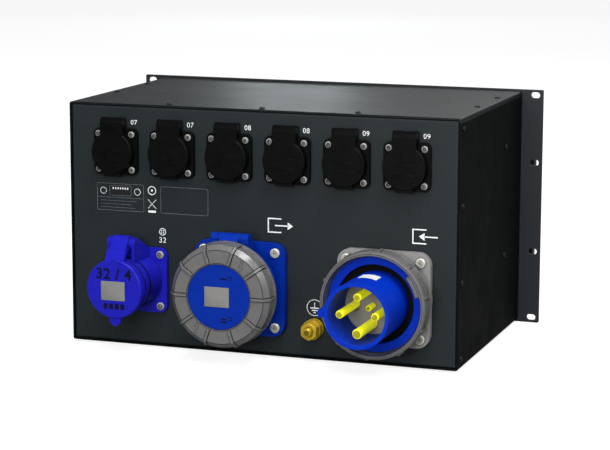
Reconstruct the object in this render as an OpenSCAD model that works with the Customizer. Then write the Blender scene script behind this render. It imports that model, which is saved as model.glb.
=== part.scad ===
// Rack-mount mains distribution unit, 6U high and 19 inches wide.
// Frame: origin at the centre of the rear (mating) face of the rack ears, +Z up.
// The connector panel faces -Y, the rack panel with its breakers and handles faces +Y.

/* [Case] */
// Width over the side walls
body_w = 434.4; // [434:0.1:436]
// Height from the underside to the top of the cover
body_h = 261.2; // [260:0.1:262]
// Depth from the rack ears' rear face back to the connector panel
body_d = 260; // [240:1:320]
// Thickness of the folded steel sheet
sheet_t = 2; // [1.5:0.1:2.2]
// Outer radius of the sheet's bends
bend_r = 2.6; // [2.3:0.1:3]
// Height of the cover's side lips
cover_lip = 5; // [4:0.5:6]

/* [Rack panel] */
// Width of the rack panel over its ears
rack_w = 482.6; // [482:0.1:483]
// Height of the rack panel, six rack units less the gap
rack_h = 265.9; // [265:0.1:266.5]
// Thickness of the rack panel
rack_t = 3; // [2.5:0.1:4]
// Distance between the left and right rows of ear slots
ear_pitch = 465.1; // [465:0.1:466]
// Height between the outer ear slots
ear_outer_pitch = 254; // [250:0.1:255]
// Height between the inner ear slots
ear_inner_pitch = 101.6; // [95:0.1:110]
// Length of an ear slot
slot_length = 10.3; // [9:0.1:12]
// Half the width of an ear slot
slot_r = 3.4; // [3.2:0.1:3.6]

/* [Handles] */
// Height between the centres of a handle's two legs
handle_pitch = 170; // [150:5:190]
// How far a handle stands out of the rack panel
handle_reach = 42; // [36:1:48]
// Width of the handle bar
handle_w = 20; // [16:1:20]
// Thickness of the handle bar
handle_t = 10; // [9:1:12]

/* [Schuko sockets] */
// Distance between neighbouring sockets
socket_pitch = 64.7; // [62:0.1:66]
// Position of the middle of the row
socket_mid_x = 0; // [-3:0.5:3]
// Height of the row above the middle of the panel
socket_z = 79.4; // [76:0.2:82]
// Side of the square flange
socket_flange = 50; // [49:0.5:51]
// Distance between the flange screws
socket_screw_pitch = 38; // [37:0.5:39]
// Radius of the hinged lid
socket_lid_r = 23; // [21:0.5:23.5]
// Distance from the panel to the front of the lid
socket_lid_front = 16; // [15:0.1:17]

/* [32 A socket] */
// Position of the 32 A socket across the panel
cee_x = -138.5; // [-145:0.1:-135]
// Height of the 32 A socket
cee_z = -57; // [-60:0.5:-50]
// Side of its square flange
cee_flange = 70; // [69:0.5:72]
// Distance between its flange screws
cee_screw_pitch = 56; // [55:0.5:57]
// Radius of its round lid
cee_lid_r = 31.2; // [31:0.1:32]

/* [Large connectors] */
// Position of the through output across the panel
thru_x = -18.8; // [-22:0.1:-15]
// How far the through output's axis sits above the middle of its flange
thru_rise = 2; // [0:0.5:2]
// Position of the power inlet across the panel
inlet_x = 139.3; // [136:0.1:141]
// Height of both large connectors
large_z = -58; // [-60:0.5:-50]
// Side of their square flanges
large_flange = 100; // [99:0.5:102]
// Distance between their flange screws
large_screw_pitch = 80; // [79:0.5:81]
// Outer radius of the through output's bayonet ring
thru_ring_r = 55; // [55:0.5:56]
// Outer radius of the inlet's bayonet ring
inlet_ring_r = 56; // [56:0.5:58]
// Outer radius of the inlet's contact sleeve
sleeve_r = 33.7; // [33.2:0.1:33.7]
// Radius of the circle the four main pins stand on
pin_circle_r = 18.5; // [17:0.1:19.5]

/* [Earth stud] */
// Position of the earth stud across the panel
stud_x = 61.7; // [58:0.1:65]
// Height of the earth stud
stud_z = -97; // [-100:0.5:-90]
// Thread radius of the earth stud
stud_r = 5; // [4:0.5:5]

/* [Breakers] */
// Width of one breaker module
module_w = 18; // [17.5:0.1:18]
// Height of the breaker row and its rail
breaker_z = 17.5; // [0:0.5:30]
// How far the breaker noses stand beyond the rack panel's rear face
nose_front = 5; // [4.5:0.1:6]

/* [Hidden] */
$fn = 64;
gap = 0.2;            // small visible seam between parts that don't touch
fit = 0.05;           // radial clearance of a running fit
hold = 0.02;          // radial clearance of a fixed fit
gasket_t = 1;         // thickness of the flange gaskets

rear_y = -body_d;
half_w = body_w / 2;
half_h = body_h / 2;
inner_w = body_w - 2 * sheet_t;
flange_w = 14;        // width of the sheet's inward flanges
rim_depth = 16;       // depth of the rear panel's folded rim
cover_z = half_h - sheet_t;
lip_z = half_h - cover_lip;

socket_count = 6;
socket_x = [for (i = [0:socket_count - 1]) socket_mid_x + (i - (socket_count - 1) / 2) * socket_pitch];
socket_corner_r = 6.5;
socket_top = gasket_t + 4;      // front of the socket flange
socket_lid_t = 4;
socket_lid_back = socket_lid_front - socket_lid_t;
socket_collar_r = 22.5;
socket_collar_top = socket_lid_back - gap;
socket_bore_r = 19.5;
socket_barrel_r = 21.4;
socket_floor = -9;              // bottom of the plug well
socket_back = -26;
socket_neck_w = 25.5;
socket_knuckle_r = 6;
socket_axis = [31.5, socket_lid_front - socket_knuckle_r];   // height above centre, distance out
socket_lug_w = 9;
socket_lug_r = 4.5;
socket_pocket_w = 15.6;
socket_pocket_r = socket_lug_r + 0.4;
socket_pin_r = 1.5;
socket_contact_x = 9.5;         // half the distance between the two line contacts
socket_clip_y = 17.6;           // height of the earth clips above and below the centre
screw_small_r = 1.6;

cee_top = gasket_t + 5;
cee_corner_r = 8;
cee_barrel_r = 29.4;
cee_collar_r = 30.8;
cee_bore_r = 25;
cee_rim = 56;                   // front edge of the barrel
cee_lid_back = 57;
cee_lid_front = 65;
cee_back = -30;
cee_back_r = 26.6;              // radius of the part inside the case
cee_contact_circle_r = 12.2;
cee_axis = [45, 40];
cee_knuckle_r = 6.5;
cee_fin_x = [12.6, 15.4];
cee_pin_r = 2;
screw_mid_r = 2;

large_top = gasket_t + 8;
large_corner_r = 14;
large_back = -34;
large_barrel_r = 40;
screw_large_r = 2.5;

thru_z = large_z + thru_rise;
thru_neck_r = 42.2;
thru_rim = 58;
thru_bore_r = 35.5;
thru_plate_back = 60.2;
thru_plate_front = 63.7;
thru_front = 70;
thru_ring_back = 46;
thru_disc_r = 34.42;
thru_axis = [55, 33];
thru_knuckle_r = 6;
thru_arm_r = [43.5, 48.3];
thru_pin_r = 2.5;
thru_ear_x = [13.2, 20.5];      // inner and outer face of a hinge ear

inlet_collar_r = 50.42;
inlet_face = 36;
inlet_annulus_front = 38;
inlet_seal_back = 26;
inlet_seal_front = 29;
inlet_ring_back = 14;
inlet_ring_step = 28;           // where the narrow back of the ring ends and the grip starts
inlet_ring_front = 50;
inlet_hub_r = 51.5;             // radius of the ring's narrow back
inlet_pocket_r = 42.2;
sleeve_bore_r = 30;
sleeve_tip = 100;
insert_face = 43;
pin_tip = 97;
pin_r = 4;
earth_pin_r = 5;
pilot_pin_r = 3;
pilot_tip = 60;
pin_foot = 0.3;                 // how much thinner a pin is where the insert holds it
pin_back = large_back + 4;
grip_ribs = 10;
rib_w = 2.6;

breaker_h = 85;
nose_h = 45;
rail_plane = nose_front - 60;   // mounting plane of the breakers on the rail
shoulder_y = rail_plane + 44;
drum_r = 7;
drum_y = nose_front - 6;
toggle_w = 8;
toggle_angle = 40;
// breaker name order: main 3 pole, residual current 4 pole, 32 A outlet 3 pole, three 2 pole circuits
breaker_poles = [3, 4, 3, 2, 2, 2];
module_count = 16;
function sum_before(v, i) = i <= 0 ? 0 : v[i - 1] + sum_before(v, i - 1);
function breaker_x(i) = (module_count / 2 - sum_before(breaker_poles, i + 1)) * module_w;
rcd_toggle_module = 3;
button_size = 9;
button_z = -11;

lamp_x = [-30, 0, 30];
lamp_z = 82;
lamp_r = 6;

cover_screw_x = [-105, 0, 105];
cover_screw_y = [-159, -73];
edge_inset = 9;
side_screw_z = [-119.5, -39.8, 39.8, 119.5];
bracket_y = -72;
bracket_screw_z = [breaker_z - 60, breaker_z + 60];
panel_screw_x = 208;
panel_screw_z = [-115, -30, 30, 115];
stud_thread_end = 20.6;
terminal_at = [60, -150, -half_h + sheet_t];
terminal_pitch = 24;
earth_bar_at = [-90, -120, -half_h + sheet_t];
handle_x = 215;
handle_screw_x = 209;
handle_screw_r = 2.5;
case_screw_r = 1.5;
case_head_r = 2.9;
case_head_h = 1.6;

// ---------- placement ----------

// Local +Z points out of the connector panel, local +Y up
module on_rear(x, z) { translate([x, rear_y, z]) rotate([90, 0, 0]) children(); }

// Local +Z points out of the rack panel, local +Y up; y is the plane it starts from
module on_front(x, z, y = 0) { translate([x, y, z]) rotate([90, 0, 180]) children(); }

module at_sockets() { for (x = socket_x) on_rear(x, socket_z) children(); }
module at_large() { for (x = [thru_x, inlet_x]) on_rear(x, large_z) children(); }
module at_cee() { on_rear(cee_x, cee_z) children(); }
module at_thru() { on_rear(thru_x, thru_z) children(); }
module at_inlet() { on_rear(inlet_x, large_z) children(); }
module at_stud() { on_rear(stud_x, stud_z) children(); }
module at_square(pitch) { for (x = [-1, 1], y = [-1, 1]) translate([x, y, 0] * pitch / 2) children(); }

// A profile drawn as [height, distance out], swept along X between two places
module side_profile(x0, x1) { translate([x0, 0, 0]) rotate([90, 0, 90]) linear_extrude(x1 - x0) children(); }

// The same profile as a pair of cheeks, mirrored about the middle
module side_pair(near, far) {
    side_profile(near, far) children();
    side_profile(-far, -near) children();
}

// A cylinder along X at a hinge axis given as [height, distance out]
module hinge_rod(axis, r, x0, x1) {
    translate([x0, axis[0], axis[1]]) rotate([0, 90, 0]) cylinder(r = r, h = x1 - x0);
}

// ---------- shared shapes ----------

module rounded_rect(w, h, r) {
    square([w - 2 * r, h], center = true);
    square([w, h - 2 * r], center = true);
    at_corners(w - 2 * r, h - 2 * r) circle(r);
}

module at_corners(w, h) { for (x = [-1, 1], y = [-1, 1]) translate([x * w / 2, y * h / 2]) children(); }

module slot_2d(length, r) {
    square([length - 2 * r, 2 * r], center = true);
    for (x = [-1, 1]) translate([x * (length / 2 - r), 0]) circle(r);
}

module tube(r_out, r_in, z0, z1) {
    translate([0, 0, z0]) difference() {
        cylinder(r = r_out, h = z1 - z0);
        translate([0, 0, -1]) cylinder(r = r_in, h = z1 - z0 + 2);
    }
}

module disc(r, z0, z1) { translate([0, 0, z0]) cylinder(r = r, h = z1 - z0); }

// A round slab with a chamfered front edge
module chamfered_disc(r, z0, z1, c) {
    disc(r, z0, z1 - c);
    translate([0, 0, z1 - c]) cylinder(r1 = r, r2 = r - c, h = c);
}

// Cross-recessed screw seated at z = 0, its shank running to -length
module cross_screw(shank_r, length, head_r, head_h) {
    slot_w = head_r * 0.32;
    difference() {
        union() {
            disc(shank_r, -length, 0);
            disc(head_r, 0, head_h * 0.55);
            translate([0, 0, head_h * 0.55]) cylinder(r1 = head_r, r2 = head_r * 0.72, h = head_h * 0.45);
        }
        for (a = [0, 90]) rotate(a) translate([-head_r * 0.6, -slot_w / 2, head_h * 0.35])
            cube([head_r * 1.2, slot_w, head_h]);
    }
}

// Cap-head screw with a hexagon socket, seated at z = 0
module socket_screw(shank_r, length, head_r, head_h) {
    difference() {
        union() {
            disc(shank_r, -length, 0);
            chamfered_disc(head_r, 0, head_h, head_h * 0.25);
        }
        translate([0, 0, head_h * 0.4]) cylinder(r = head_r * 0.5, h = head_h, $fn = 6);
    }
}

module flange_plate(side, corner_r, z0, z1, screw_pitch, screw_r) {
    translate([0, 0, z0]) linear_extrude(z1 - z0) difference() {
        rounded_rect(side, side, corner_r);
        at_square(screw_pitch) circle(screw_r);
    }
}

module flange_gasket(side, corner_r, hole_r, screw_pitch, screw_r) {
    difference() {
        flange_plate(side, corner_r, 0, gasket_t, screw_pitch, screw_r);
        disc(hole_r, -1, gasket_t + 1);
    }
}

module socket_tube(r_out, r_in, back, front, slot_w) {
    difference() {
        tube(r_out, r_in, back, front);
        translate([-slot_w / 2, -r_out - 1, front - 8]) cube([slot_w, 2 * r_out + 2, 9]);
    }
}

// ---------- case ----------

// Cut along Y through a [x, z] profile of the case
module case_sweep(y0, y1) { translate([0, y1, 0]) rotate([90, 0, 0]) linear_extrude(y1 - y0) children(); }

module chassis_tray() {
    color([0.13, 0.15, 0.155]) difference() {
        union() {
            case_sweep(rear_y, 0) difference() {
                rounded_rect(body_w, body_h, bend_r);
                rounded_rect(inner_w, body_h - 2 * sheet_t, bend_r - sheet_t + 0.01);
                translate([-half_w, lip_z - gap]) square([body_w, cover_lip + 1]);
            }
            for (s = [-1, 1]) {
                tray_top_flange(s);
                tray_front_flange(s);
            }
        }
        for (y = cover_screw_y, s = [-1, 1]) translate([s * (half_w - 10), y, cover_z - 12])
            cylinder(r = case_screw_r + hold, h = 20);
        for (z = side_screw_z) case_side_hole(rear_y + edge_inset, z);
        for (z = bracket_screw_z) case_side_hole(bracket_y, z);
        for (s = [-1, 1], z = panel_screw_z) translate([s * panel_screw_x, 0, z]) rotate([90, 0, 0])
            translate([0, 0, -1]) cylinder(r = case_screw_r + hold, h = 10);
        for (s = [-1, 1], z = [-1, 1]) translate([s * handle_screw_x, 0, z * handle_pitch / 2])
            rotate([90, 0, 0]) translate([0, 0, -1]) cylinder(r = handle_screw_r + hold, h = 10);
    }
}

// Folded strip welded inside a side wall, carrying the cover
module tray_top_flange(s) {
    strip_x = half_w - 2 * sheet_t;
    y0 = rear_y + 16;
    translate([s > 0 ? strip_x : -strip_x - sheet_t, y0, cover_z - 20]) cube([sheet_t, -y0, 20]);
    translate([s > 0 ? strip_x - 12 : -strip_x, y0, cover_z - sheet_t]) cube([12, -y0, sheet_t]);
}

module tray_front_flange(s) {
    x0 = half_w - sheet_t - flange_w;
    translate([s > 0 ? x0 : -x0 - flange_w, -sheet_t, -half_h + sheet_t])
        cube([flange_w, sheet_t, body_h - 2 * sheet_t - gap]);
}

module case_side_hole(y, z) {
    translate([0, y, z]) rotate([0, 90, 0]) cylinder(r = case_screw_r + hold, h = body_w + 4, center = true);
}

module rear_panel() {
    w = inner_w - 2 * gap;
    h = body_h - 2 * sheet_t - 2 * gap;
    color([0.16, 0.185, 0.19]) difference() {
        // a shallow pan whose rim is folded inwards
        pan(w, h, rim_depth);
        translate([0, rear_y + sheet_t, 0]) rotate([-90, 0, 0]) linear_extrude(2 * rim_depth)
            square([w - 2 * sheet_t, h - 2 * sheet_t], center = true);
        for (x = socket_x)
            rear_cutout(x, socket_z, socket_barrel_r + gap, socket_screw_pitch, screw_small_r + hold);
        rear_cutout(cee_x, cee_z, cee_back_r + 2 * gap, cee_screw_pitch, screw_mid_r + hold);
        for (x = [thru_x, inlet_x])
            rear_cutout(x, large_z, large_barrel_r + gap, large_screw_pitch, screw_large_r + hold);
        at_stud() disc(stud_r + hold, -sheet_t - 1, 1);
        for (z = side_screw_z) case_side_hole(rear_y + edge_inset, z);
        for (x = cover_screw_x) translate([x, rear_y + edge_inset, half_h - 20])
            cylinder(r = case_screw_r + hold, h = 30);
    }
}

// Block with its long edges rounded on the connector side only
module pan(w, h, depth) {
    intersection() {
        translate([0, rear_y, 0]) rotate([-90, 0, 0]) linear_extrude(depth) square([w, h], center = true);
        translate([0, 0, -h / 2]) linear_extrude(h) pan_outline(w, depth);
        translate([-w / 2, 0, 0]) rotate([90, 0, 90]) linear_extrude(w) pan_outline_side(h, depth);
    }
}

module pan_outline(w, depth) {
    translate([-w / 2, rear_y + bend_r]) square([w, depth - bend_r]);
    translate([-w / 2 + bend_r, rear_y]) square([w - 2 * bend_r, depth]);
    for (s = [-1, 1]) translate([s * (w / 2 - bend_r), rear_y + bend_r]) circle(bend_r);
}

module pan_outline_side(h, depth) {
    translate([rear_y + bend_r, -h / 2]) square([depth - bend_r, h]);
    translate([rear_y, -h / 2 + bend_r]) square([depth, h - 2 * bend_r]);
    for (s = [-1, 1]) translate([rear_y + bend_r, s * (h / 2 - bend_r)]) circle(bend_r);
}

module rear_cutout(x, z, hole_r, screw_pitch, screw_r) {
    on_rear(x, z) translate([0, 0, -sheet_t - 1]) {
        cylinder(r = hole_r, h = sheet_t + 2);
        at_square(screw_pitch) cylinder(r = screw_r, h = sheet_t + 2);
    }
}

module top_cover() {
    color([0.16, 0.185, 0.19]) difference() {
        case_sweep(rear_y, 0) intersection() {
            difference() {
                rounded_rect(body_w, body_h, bend_r);
                square([inner_w, body_h - 2 * sheet_t], center = true);
            }
            translate([-half_w, lip_z]) square([body_w, cover_lip + 1]);
        }
        for (x = cover_screw_x) cover_hole(x, rear_y + edge_inset);
        for (y = cover_screw_y, s = [-1, 1]) cover_hole(s * (half_w - 10), y);
    }
}

module cover_hole(x, y) { translate([x, y, cover_z - 1]) cylinder(r = case_screw_r + hold, h = sheet_t + 2); }

module front_panel() {
    color([0.17, 0.185, 0.2]) on_front(0, 0) linear_extrude(rack_t) difference() {
        rounded_rect(rack_w, rack_h, 1.5);
        for (z = [ear_outer_pitch, ear_inner_pitch]) at_corners(ear_pitch, z) slot_2d(slot_length, slot_r);
        translate([0, breaker_z]) square([module_count * module_w + 1, nose_h + 1], center = true);
        for (x = lamp_x) translate([x, lamp_z]) circle(lamp_r + hold);
        for (s = [-1, 1], z = panel_screw_z) translate([s * panel_screw_x, z]) circle(case_screw_r + hold);
        at_corners(2 * handle_screw_x, handle_pitch) circle(handle_screw_r + hold);
    }
}

// U-shaped bar seen from the side: [distance out of the panel, height]
module handle_profile() {
    r = 8;
    difference() {
        translate([handle_reach / 2, 0]) rounded_rect(handle_reach, handle_pitch + handle_t, r);
        translate([(handle_reach - handle_t) / 2 - 10, 0])
            rounded_rect(handle_reach - handle_t + 20, handle_pitch - handle_t, r - 4);
    }
    for (s = [-1, 1]) translate([0, s * handle_pitch / 2 - handle_t / 2]) square([r + 2, handle_t]);
}

module rack_handles() {
    color([0.08, 0.08, 0.085]) for (s = [-1, 1]) difference() {
        translate([s * handle_x - handle_w / 2, rack_t, 0]) rotate([90, 0, 90])
            linear_extrude(handle_w) handle_profile();
        for (z = [-1, 1]) translate([s * handle_screw_x, rack_t - 1, z * handle_pitch / 2])
            rotate([-90, 0, 0]) cylinder(r = handle_screw_r + hold, h = 16);
    }
}

module handle_screws() {
    color([0.75, 0.75, 0.77]) for (s = [-1, 1], z = [-1, 1])
        translate([s * handle_screw_x, -sheet_t, z * handle_pitch / 2]) rotate([90, 0, 0])
            socket_screw(handle_screw_r, 17, 4.4, 3.5);
}

module case_screws() {
    color([0.1, 0.1, 0.1]) {
        for (x = cover_screw_x) translate([x, rear_y + edge_inset, half_h]) case_screw(8);
        for (y = cover_screw_y, s = [-1, 1]) translate([s * (half_w - 10), y, half_h]) case_screw(8);
        for (s = [-1, 1], z = side_screw_z) translate([s * half_w, rear_y + edge_inset, z])
            rotate([0, s * 90, 0]) case_screw(8);
        for (s = [-1, 1], z = bracket_screw_z) translate([s * half_w, bracket_y, z])
            rotate([0, s * 90, 0]) case_screw(8);
        for (s = [-1, 1], z = panel_screw_z) on_front(s * panel_screw_x, z, rack_t) case_screw(9);
    }
}

module case_screw(length) { cross_screw(case_screw_r, length, case_head_r, case_head_h); }

// ---------- Schuko sockets ----------

module socket_gaskets() {
    color([0.05, 0.05, 0.05]) at_sockets() flange_gasket(socket_flange, socket_corner_r,
        socket_barrel_r + gap, socket_screw_pitch, screw_small_r + gap);
}

module socket_frames() {
    guide_w = 6;
    lug_start = 20;
    color([0.06, 0.06, 0.06]) at_sockets() difference() {
        union() {
            flange_plate(socket_flange, socket_corner_r, gasket_t, socket_top, socket_screw_pitch,
                screw_small_r + hold);
            disc(socket_collar_r, gasket_t, socket_collar_top);
            disc(socket_barrel_r, socket_back, gasket_t);
            hinge_rod(socket_axis, socket_lug_r, -socket_lug_w / 2, socket_lug_w / 2);
            translate([-socket_lug_w / 2, lug_start, gasket_t])
                cube([socket_lug_w, socket_axis[0] - lug_start - 2, socket_axis[1] - gasket_t - 2]);
        }
        disc(socket_bore_r, socket_back - 1, socket_collar_top + 1);
        hinge_rod(socket_axis, socket_pin_r + hold, -socket_lug_w, socket_lug_w);
        for (s = [-1, 1]) translate([s * (socket_bore_r + 0.5) - 1.5, -guide_w / 2, socket_floor])
            cube([3, guide_w, socket_collar_top]);
    }
}

module socket_inserts() {
    clip_w = 6;
    clip_slot = 1.8;
    color([0.08, 0.08, 0.08]) at_sockets() difference() {
        disc(socket_bore_r - hold, socket_back, socket_floor);
        for (s = [-1, 1]) translate([s * socket_contact_x, 0, 0]) {
            disc(2.5, socket_floor - 4, socket_floor + 1);
            disc(3.25, socket_back - 1, socket_floor - 3);
        }
        for (s = [-1, 1]) translate([-clip_w / 2, s * socket_clip_y - clip_slot / 2, socket_floor - 8])
            cube([clip_w, clip_slot, 9]);
    }
}

module socket_contacts() {
    color([0.8, 0.65, 0.25]) at_sockets() for (s = [-1, 1]) translate([s * socket_contact_x, 0, 0])
        socket_tube(3.2, 2.45, socket_back, socket_floor - 3.1, 0.6);
}

// Sprung strips at the top and bottom of each well
module socket_earth_clips() {
    clip_w = 5.6;
    bead_r = 1.2;
    color([0.8, 0.65, 0.25]) at_sockets() for (s = [-1, 1]) {
        translate([-clip_w / 2, s * socket_clip_y - 0.5, socket_floor - 7.5]) cube([clip_w, 1, 22]);
        translate([0, s * (socket_clip_y - 0.3), 3.5]) rotate([0, 90, 0])
            cylinder(r = bead_r, h = clip_w, center = true);
    }
}

module socket_screws() {
    color([0.7, 0.71, 0.72]) at_sockets() at_square(socket_screw_pitch) translate([0, 0, socket_top])
        cross_screw(screw_small_r, 12, 3.4, 2.2);
}

module socket_hinge_pins() {
    color([0.7, 0.71, 0.72]) at_sockets() hinge_rod(socket_axis, socket_pin_r, -12.5, 12.5);
}

// Closed coils on the hinge pin, either side of the lug
module socket_springs() {
    wire_r = 0.4;
    turns = 4;
    color([0.6, 0.6, 0.62]) at_sockets() for (s = [-1, 1])
        translate([s * 6.2, socket_axis[0], socket_axis[1]]) rotate([0, 90, 0]) rotate_extrude()
            for (i = [0:turns - 1]) translate([2.2, (i - (turns - 1) / 2) * 0.68]) circle(wire_r);
}

module socket_lid(i) {
    color([0.05, 0.05, 0.05]) on_rear(socket_x[i], socket_z) difference() {
        union() {
            chamfered_disc(socket_lid_r, socket_lid_back, socket_lid_front, 0.8);
            socket_lid_tab();
            translate([-socket_neck_w / 2, 8, socket_lid_back])
                cube([socket_neck_w, socket_axis[0] - 8, socket_lid_t]);
            hinge_rod(socket_axis, socket_knuckle_r, -socket_neck_w / 2, socket_neck_w / 2);
            tube(18, 15, socket_lid_back - 1.4, socket_lid_back + 0.1);
        }
        hinge_rod(socket_axis, socket_pin_r + fit, -socket_neck_w, socket_neck_w);
        hinge_rod(socket_axis, socket_pocket_r, -socket_pocket_w / 2, socket_pocket_w / 2);
        translate([-socket_pocket_w / 2, socket_axis[0] - socket_knuckle_r - 0.5, 1])
            cube([socket_pocket_w, 3 * socket_knuckle_r, socket_axis[1] + 0.3]);
    }
}

// Finger edge below the lid
module socket_lid_tab() {
    tab_w = 19;
    translate([-tab_w / 2, -socket_lid_r - 2.5, socket_lid_back]) cube([tab_w, 12, socket_lid_t - 0.8]);
}

// ---------- 32 A socket ----------

module cee_gasket() {
    color([0.05, 0.05, 0.05]) at_cee()
        flange_gasket(cee_flange, cee_corner_r, cee_back_r + 2 * gap, cee_screw_pitch, screw_mid_r + gap);
}

module cee_housing() {
    collar_t = 2.8;
    floor_t = 4;
    color([0.12, 0.12, 0.75]) at_cee() difference() {
        union() {
            flange_plate(cee_flange, cee_corner_r, gasket_t, cee_top, cee_screw_pitch, screw_mid_r + hold);
            disc(cee_back_r, cee_back, gasket_t);
            disc(cee_barrel_r, gasket_t, cee_rim);
            for (z = [cee_rim - 3 * collar_t, cee_rim - collar_t]) disc(cee_collar_r, z, z + collar_t);
            side_pair(cee_fin_x[0], cee_fin_x[1]) cee_fin_profile();
            translate([-cee_fin_x[1], 27, 23]) cube([2 * cee_fin_x[1], 14, 3]);
        }
        disc(cee_bore_r, cee_back + floor_t, cee_rim + 1);
        disc(9, cee_back - 1, cee_back + floor_t + 1);
        hinge_rod(cee_axis, cee_pin_r + hold, -cee_fin_x[1] - 1, cee_fin_x[1] + 1);
    }
}

// Triangular cheek from the flange's top edge up to the hinge
module cee_fin_profile() {
    polygon([[20, cee_top - 1], [34.5, cee_top - 1], [50.6, 36.5], [45, 46.5], [27, 46.5], [20, 40]]);
    translate(cee_axis) circle(cee_knuckle_r);
}

module cee_insert() {
    color([0.12, 0.12, 0.13]) at_cee() difference() {
        union() {
            disc(cee_bore_r - hold, cee_back + 4, -16);
            disc(19, -17, 46);
        }
        contact_places(cee_contact_circle_r) {
            disc(3.65, cee_back, 43);
            disc(3.05, 40, 50);
        }
    }
}

module contact_places(r) { for (a = [0:90:270]) rotate(a) translate([r, 0, 0]) children(); }

module cee_contacts() {
    color([0.8, 0.65, 0.25]) at_cee()
        contact_places(cee_contact_circle_r) socket_tube(3.6, 3, cee_back + 6, 42.9, 0.8);
}

module cee_screws() {
    color([0.8, 0.8, 0.82]) at_cee() at_square(cee_screw_pitch) translate([0, 0, cee_top])
        cross_screw(screw_mid_r, 13, 4.2, 2.6);
}

module cee_hinge_pin() {
    color([0.7, 0.71, 0.72]) at_cee() hinge_rod(cee_axis, cee_pin_r, -cee_fin_x[1], cee_fin_x[1]);
}

module cee_lid() {
    upper_w = 18;
    lower_w = 21;
    knuckle_w = 2 * (cee_fin_x[0] - 0.3);
    color([0.12, 0.12, 0.75]) at_cee() difference() {
        union() {
            chamfered_disc(cee_lid_r, cee_lid_back, cee_lid_front, 1);
            tube(23, 20, cee_lid_back - 2, cee_lid_back + 0.1);
            side_profile(-upper_w / 2, upper_w / 2)
                polygon([[38.5, 36], [48, 34], [53, 38], [53, 45], [37, 57.5], [33, 54], [38.5, 46]]);
            side_profile(-lower_w / 2, lower_w / 2) polygon([[30, cee_lid_back], [38, 52], [40, 56.5],
                [28, cee_lid_front], [16, cee_lid_front], [16, cee_lid_back + 1]]);
            hinge_rod(cee_axis, cee_knuckle_r, -knuckle_w / 2, knuckle_w / 2);
            translate([0, 0, cee_lid_back]) linear_extrude(cee_lid_front - cee_lid_back - 2) latch_tab();
        }
        hinge_rod(cee_axis, cee_pin_r + fit, -knuckle_w, knuckle_w);
    }
}

// Finger tab below the lid
module latch_tab() {
    polygon([[-8.5, -28], [8.5, -28], [5, -36.5], [-5, -36.5]]);
    translate([0, -34.5]) circle(5.4);
}

// ---------- large connectors ----------

module large_gaskets() {
    color([0.05, 0.05, 0.05]) at_large() flange_gasket(large_flange, large_corner_r, large_barrel_r + gap,
        large_screw_pitch, screw_large_r + gap);
}

module large_flange_screws() {
    color([0.78, 0.78, 0.74]) at_large() at_square(large_screw_pitch) translate([0, 0, large_top])
        socket_screw(screw_large_r, 16, 5, 3.4);
}

module thru_housing() {
    color([0.02, 0.14, 0.52]) at_thru() difference() {
        union() {
            translate([0, -thru_rise, 0]) flange_plate(large_flange, large_corner_r, gasket_t, large_top,
                large_screw_pitch, screw_large_r + hold);
            disc(large_barrel_r - thru_rise, large_back, gasket_t);
            disc(thru_neck_r, gasket_t, thru_rim);
            for (a = [-5, 175]) rotate(a) rotate_extrude(angle = 10)
                translate([thru_neck_r - 1, 52]) square([6, 4]);
            side_pair(thru_ear_x[0], thru_ear_x[1]) thru_ear_profile();
        }
        disc(thru_bore_r, large_back + 4, thru_rim + 1);
        disc(12, large_back - 1, large_back + 5);
        hinge_rod(thru_axis, thru_pin_r + hold, -thru_ear_x[1] - 1, thru_ear_x[1] + 1);
    }
}

module thru_ear_profile() {
    polygon([[34, 20], [46, 20], [60.6, 31], [60.6, 36], [52, 39], [34, 33.9]]);
    translate(thru_axis) circle(thru_knuckle_r);
}

module thru_insert() {
    color([0.3, 0.3, 0.31]) at_thru() difference() {
        union() {
            disc(thru_bore_r - hold, large_back + 4, -20);
            disc(29.5, -21, 52);
        }
        contact_places(pin_circle_r) {
            disc(5.75, large_back, 48);
            disc(5.05, 45, 60);
        }
    }
}

module thru_contacts() {
    color([0.8, 0.65, 0.25]) at_thru()
        contact_places(pin_circle_r) socket_tube(5.7, 5, large_back + 6, 47.9, 1);
}

module thru_hinge_pin() {
    color([0.7, 0.71, 0.72]) at_thru() hinge_rod(thru_axis, thru_pin_r, -thru_ear_x[1], thru_ear_x[1]);
}

// Centre disc, the plate the ring turns against, and the arm back to the hinge
module thru_lid() {
    knuckle_x = thru_ear_x[0] - 0.3;
    arm_w = 20;
    arm_angle = 26;
    color([0.03, 0.15, 0.52]) at_thru() difference() {
        union() {
            disc(46, thru_plate_back, thru_plate_front);
            chamfered_disc(thru_disc_r, thru_plate_front, thru_front - 0.4, 0.5);
            rotate(90 - arm_angle / 2) rotate_extrude(angle = arm_angle) translate([thru_arm_r[0], 38])
                square([thru_arm_r[1] - thru_arm_r[0], thru_plate_front - 38]);
            side_profile(-arm_w / 2, arm_w / 2)
                polygon([[45.5, 38], [45.5, 45], [51, 45], [60, 37], [55, 33], [50, 36]]);
            hinge_rod(thru_axis, thru_knuckle_r, -knuckle_x, knuckle_x);
        }
        hinge_rod(thru_axis, thru_pin_r + fit, -2 * knuckle_x, 2 * knuckle_x);
    }
}

module thru_lid_seal() {
    color([0.05, 0.05, 0.05]) at_thru() tube(41.5, 36, thru_rim + 0.1, thru_plate_back);
}

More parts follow.
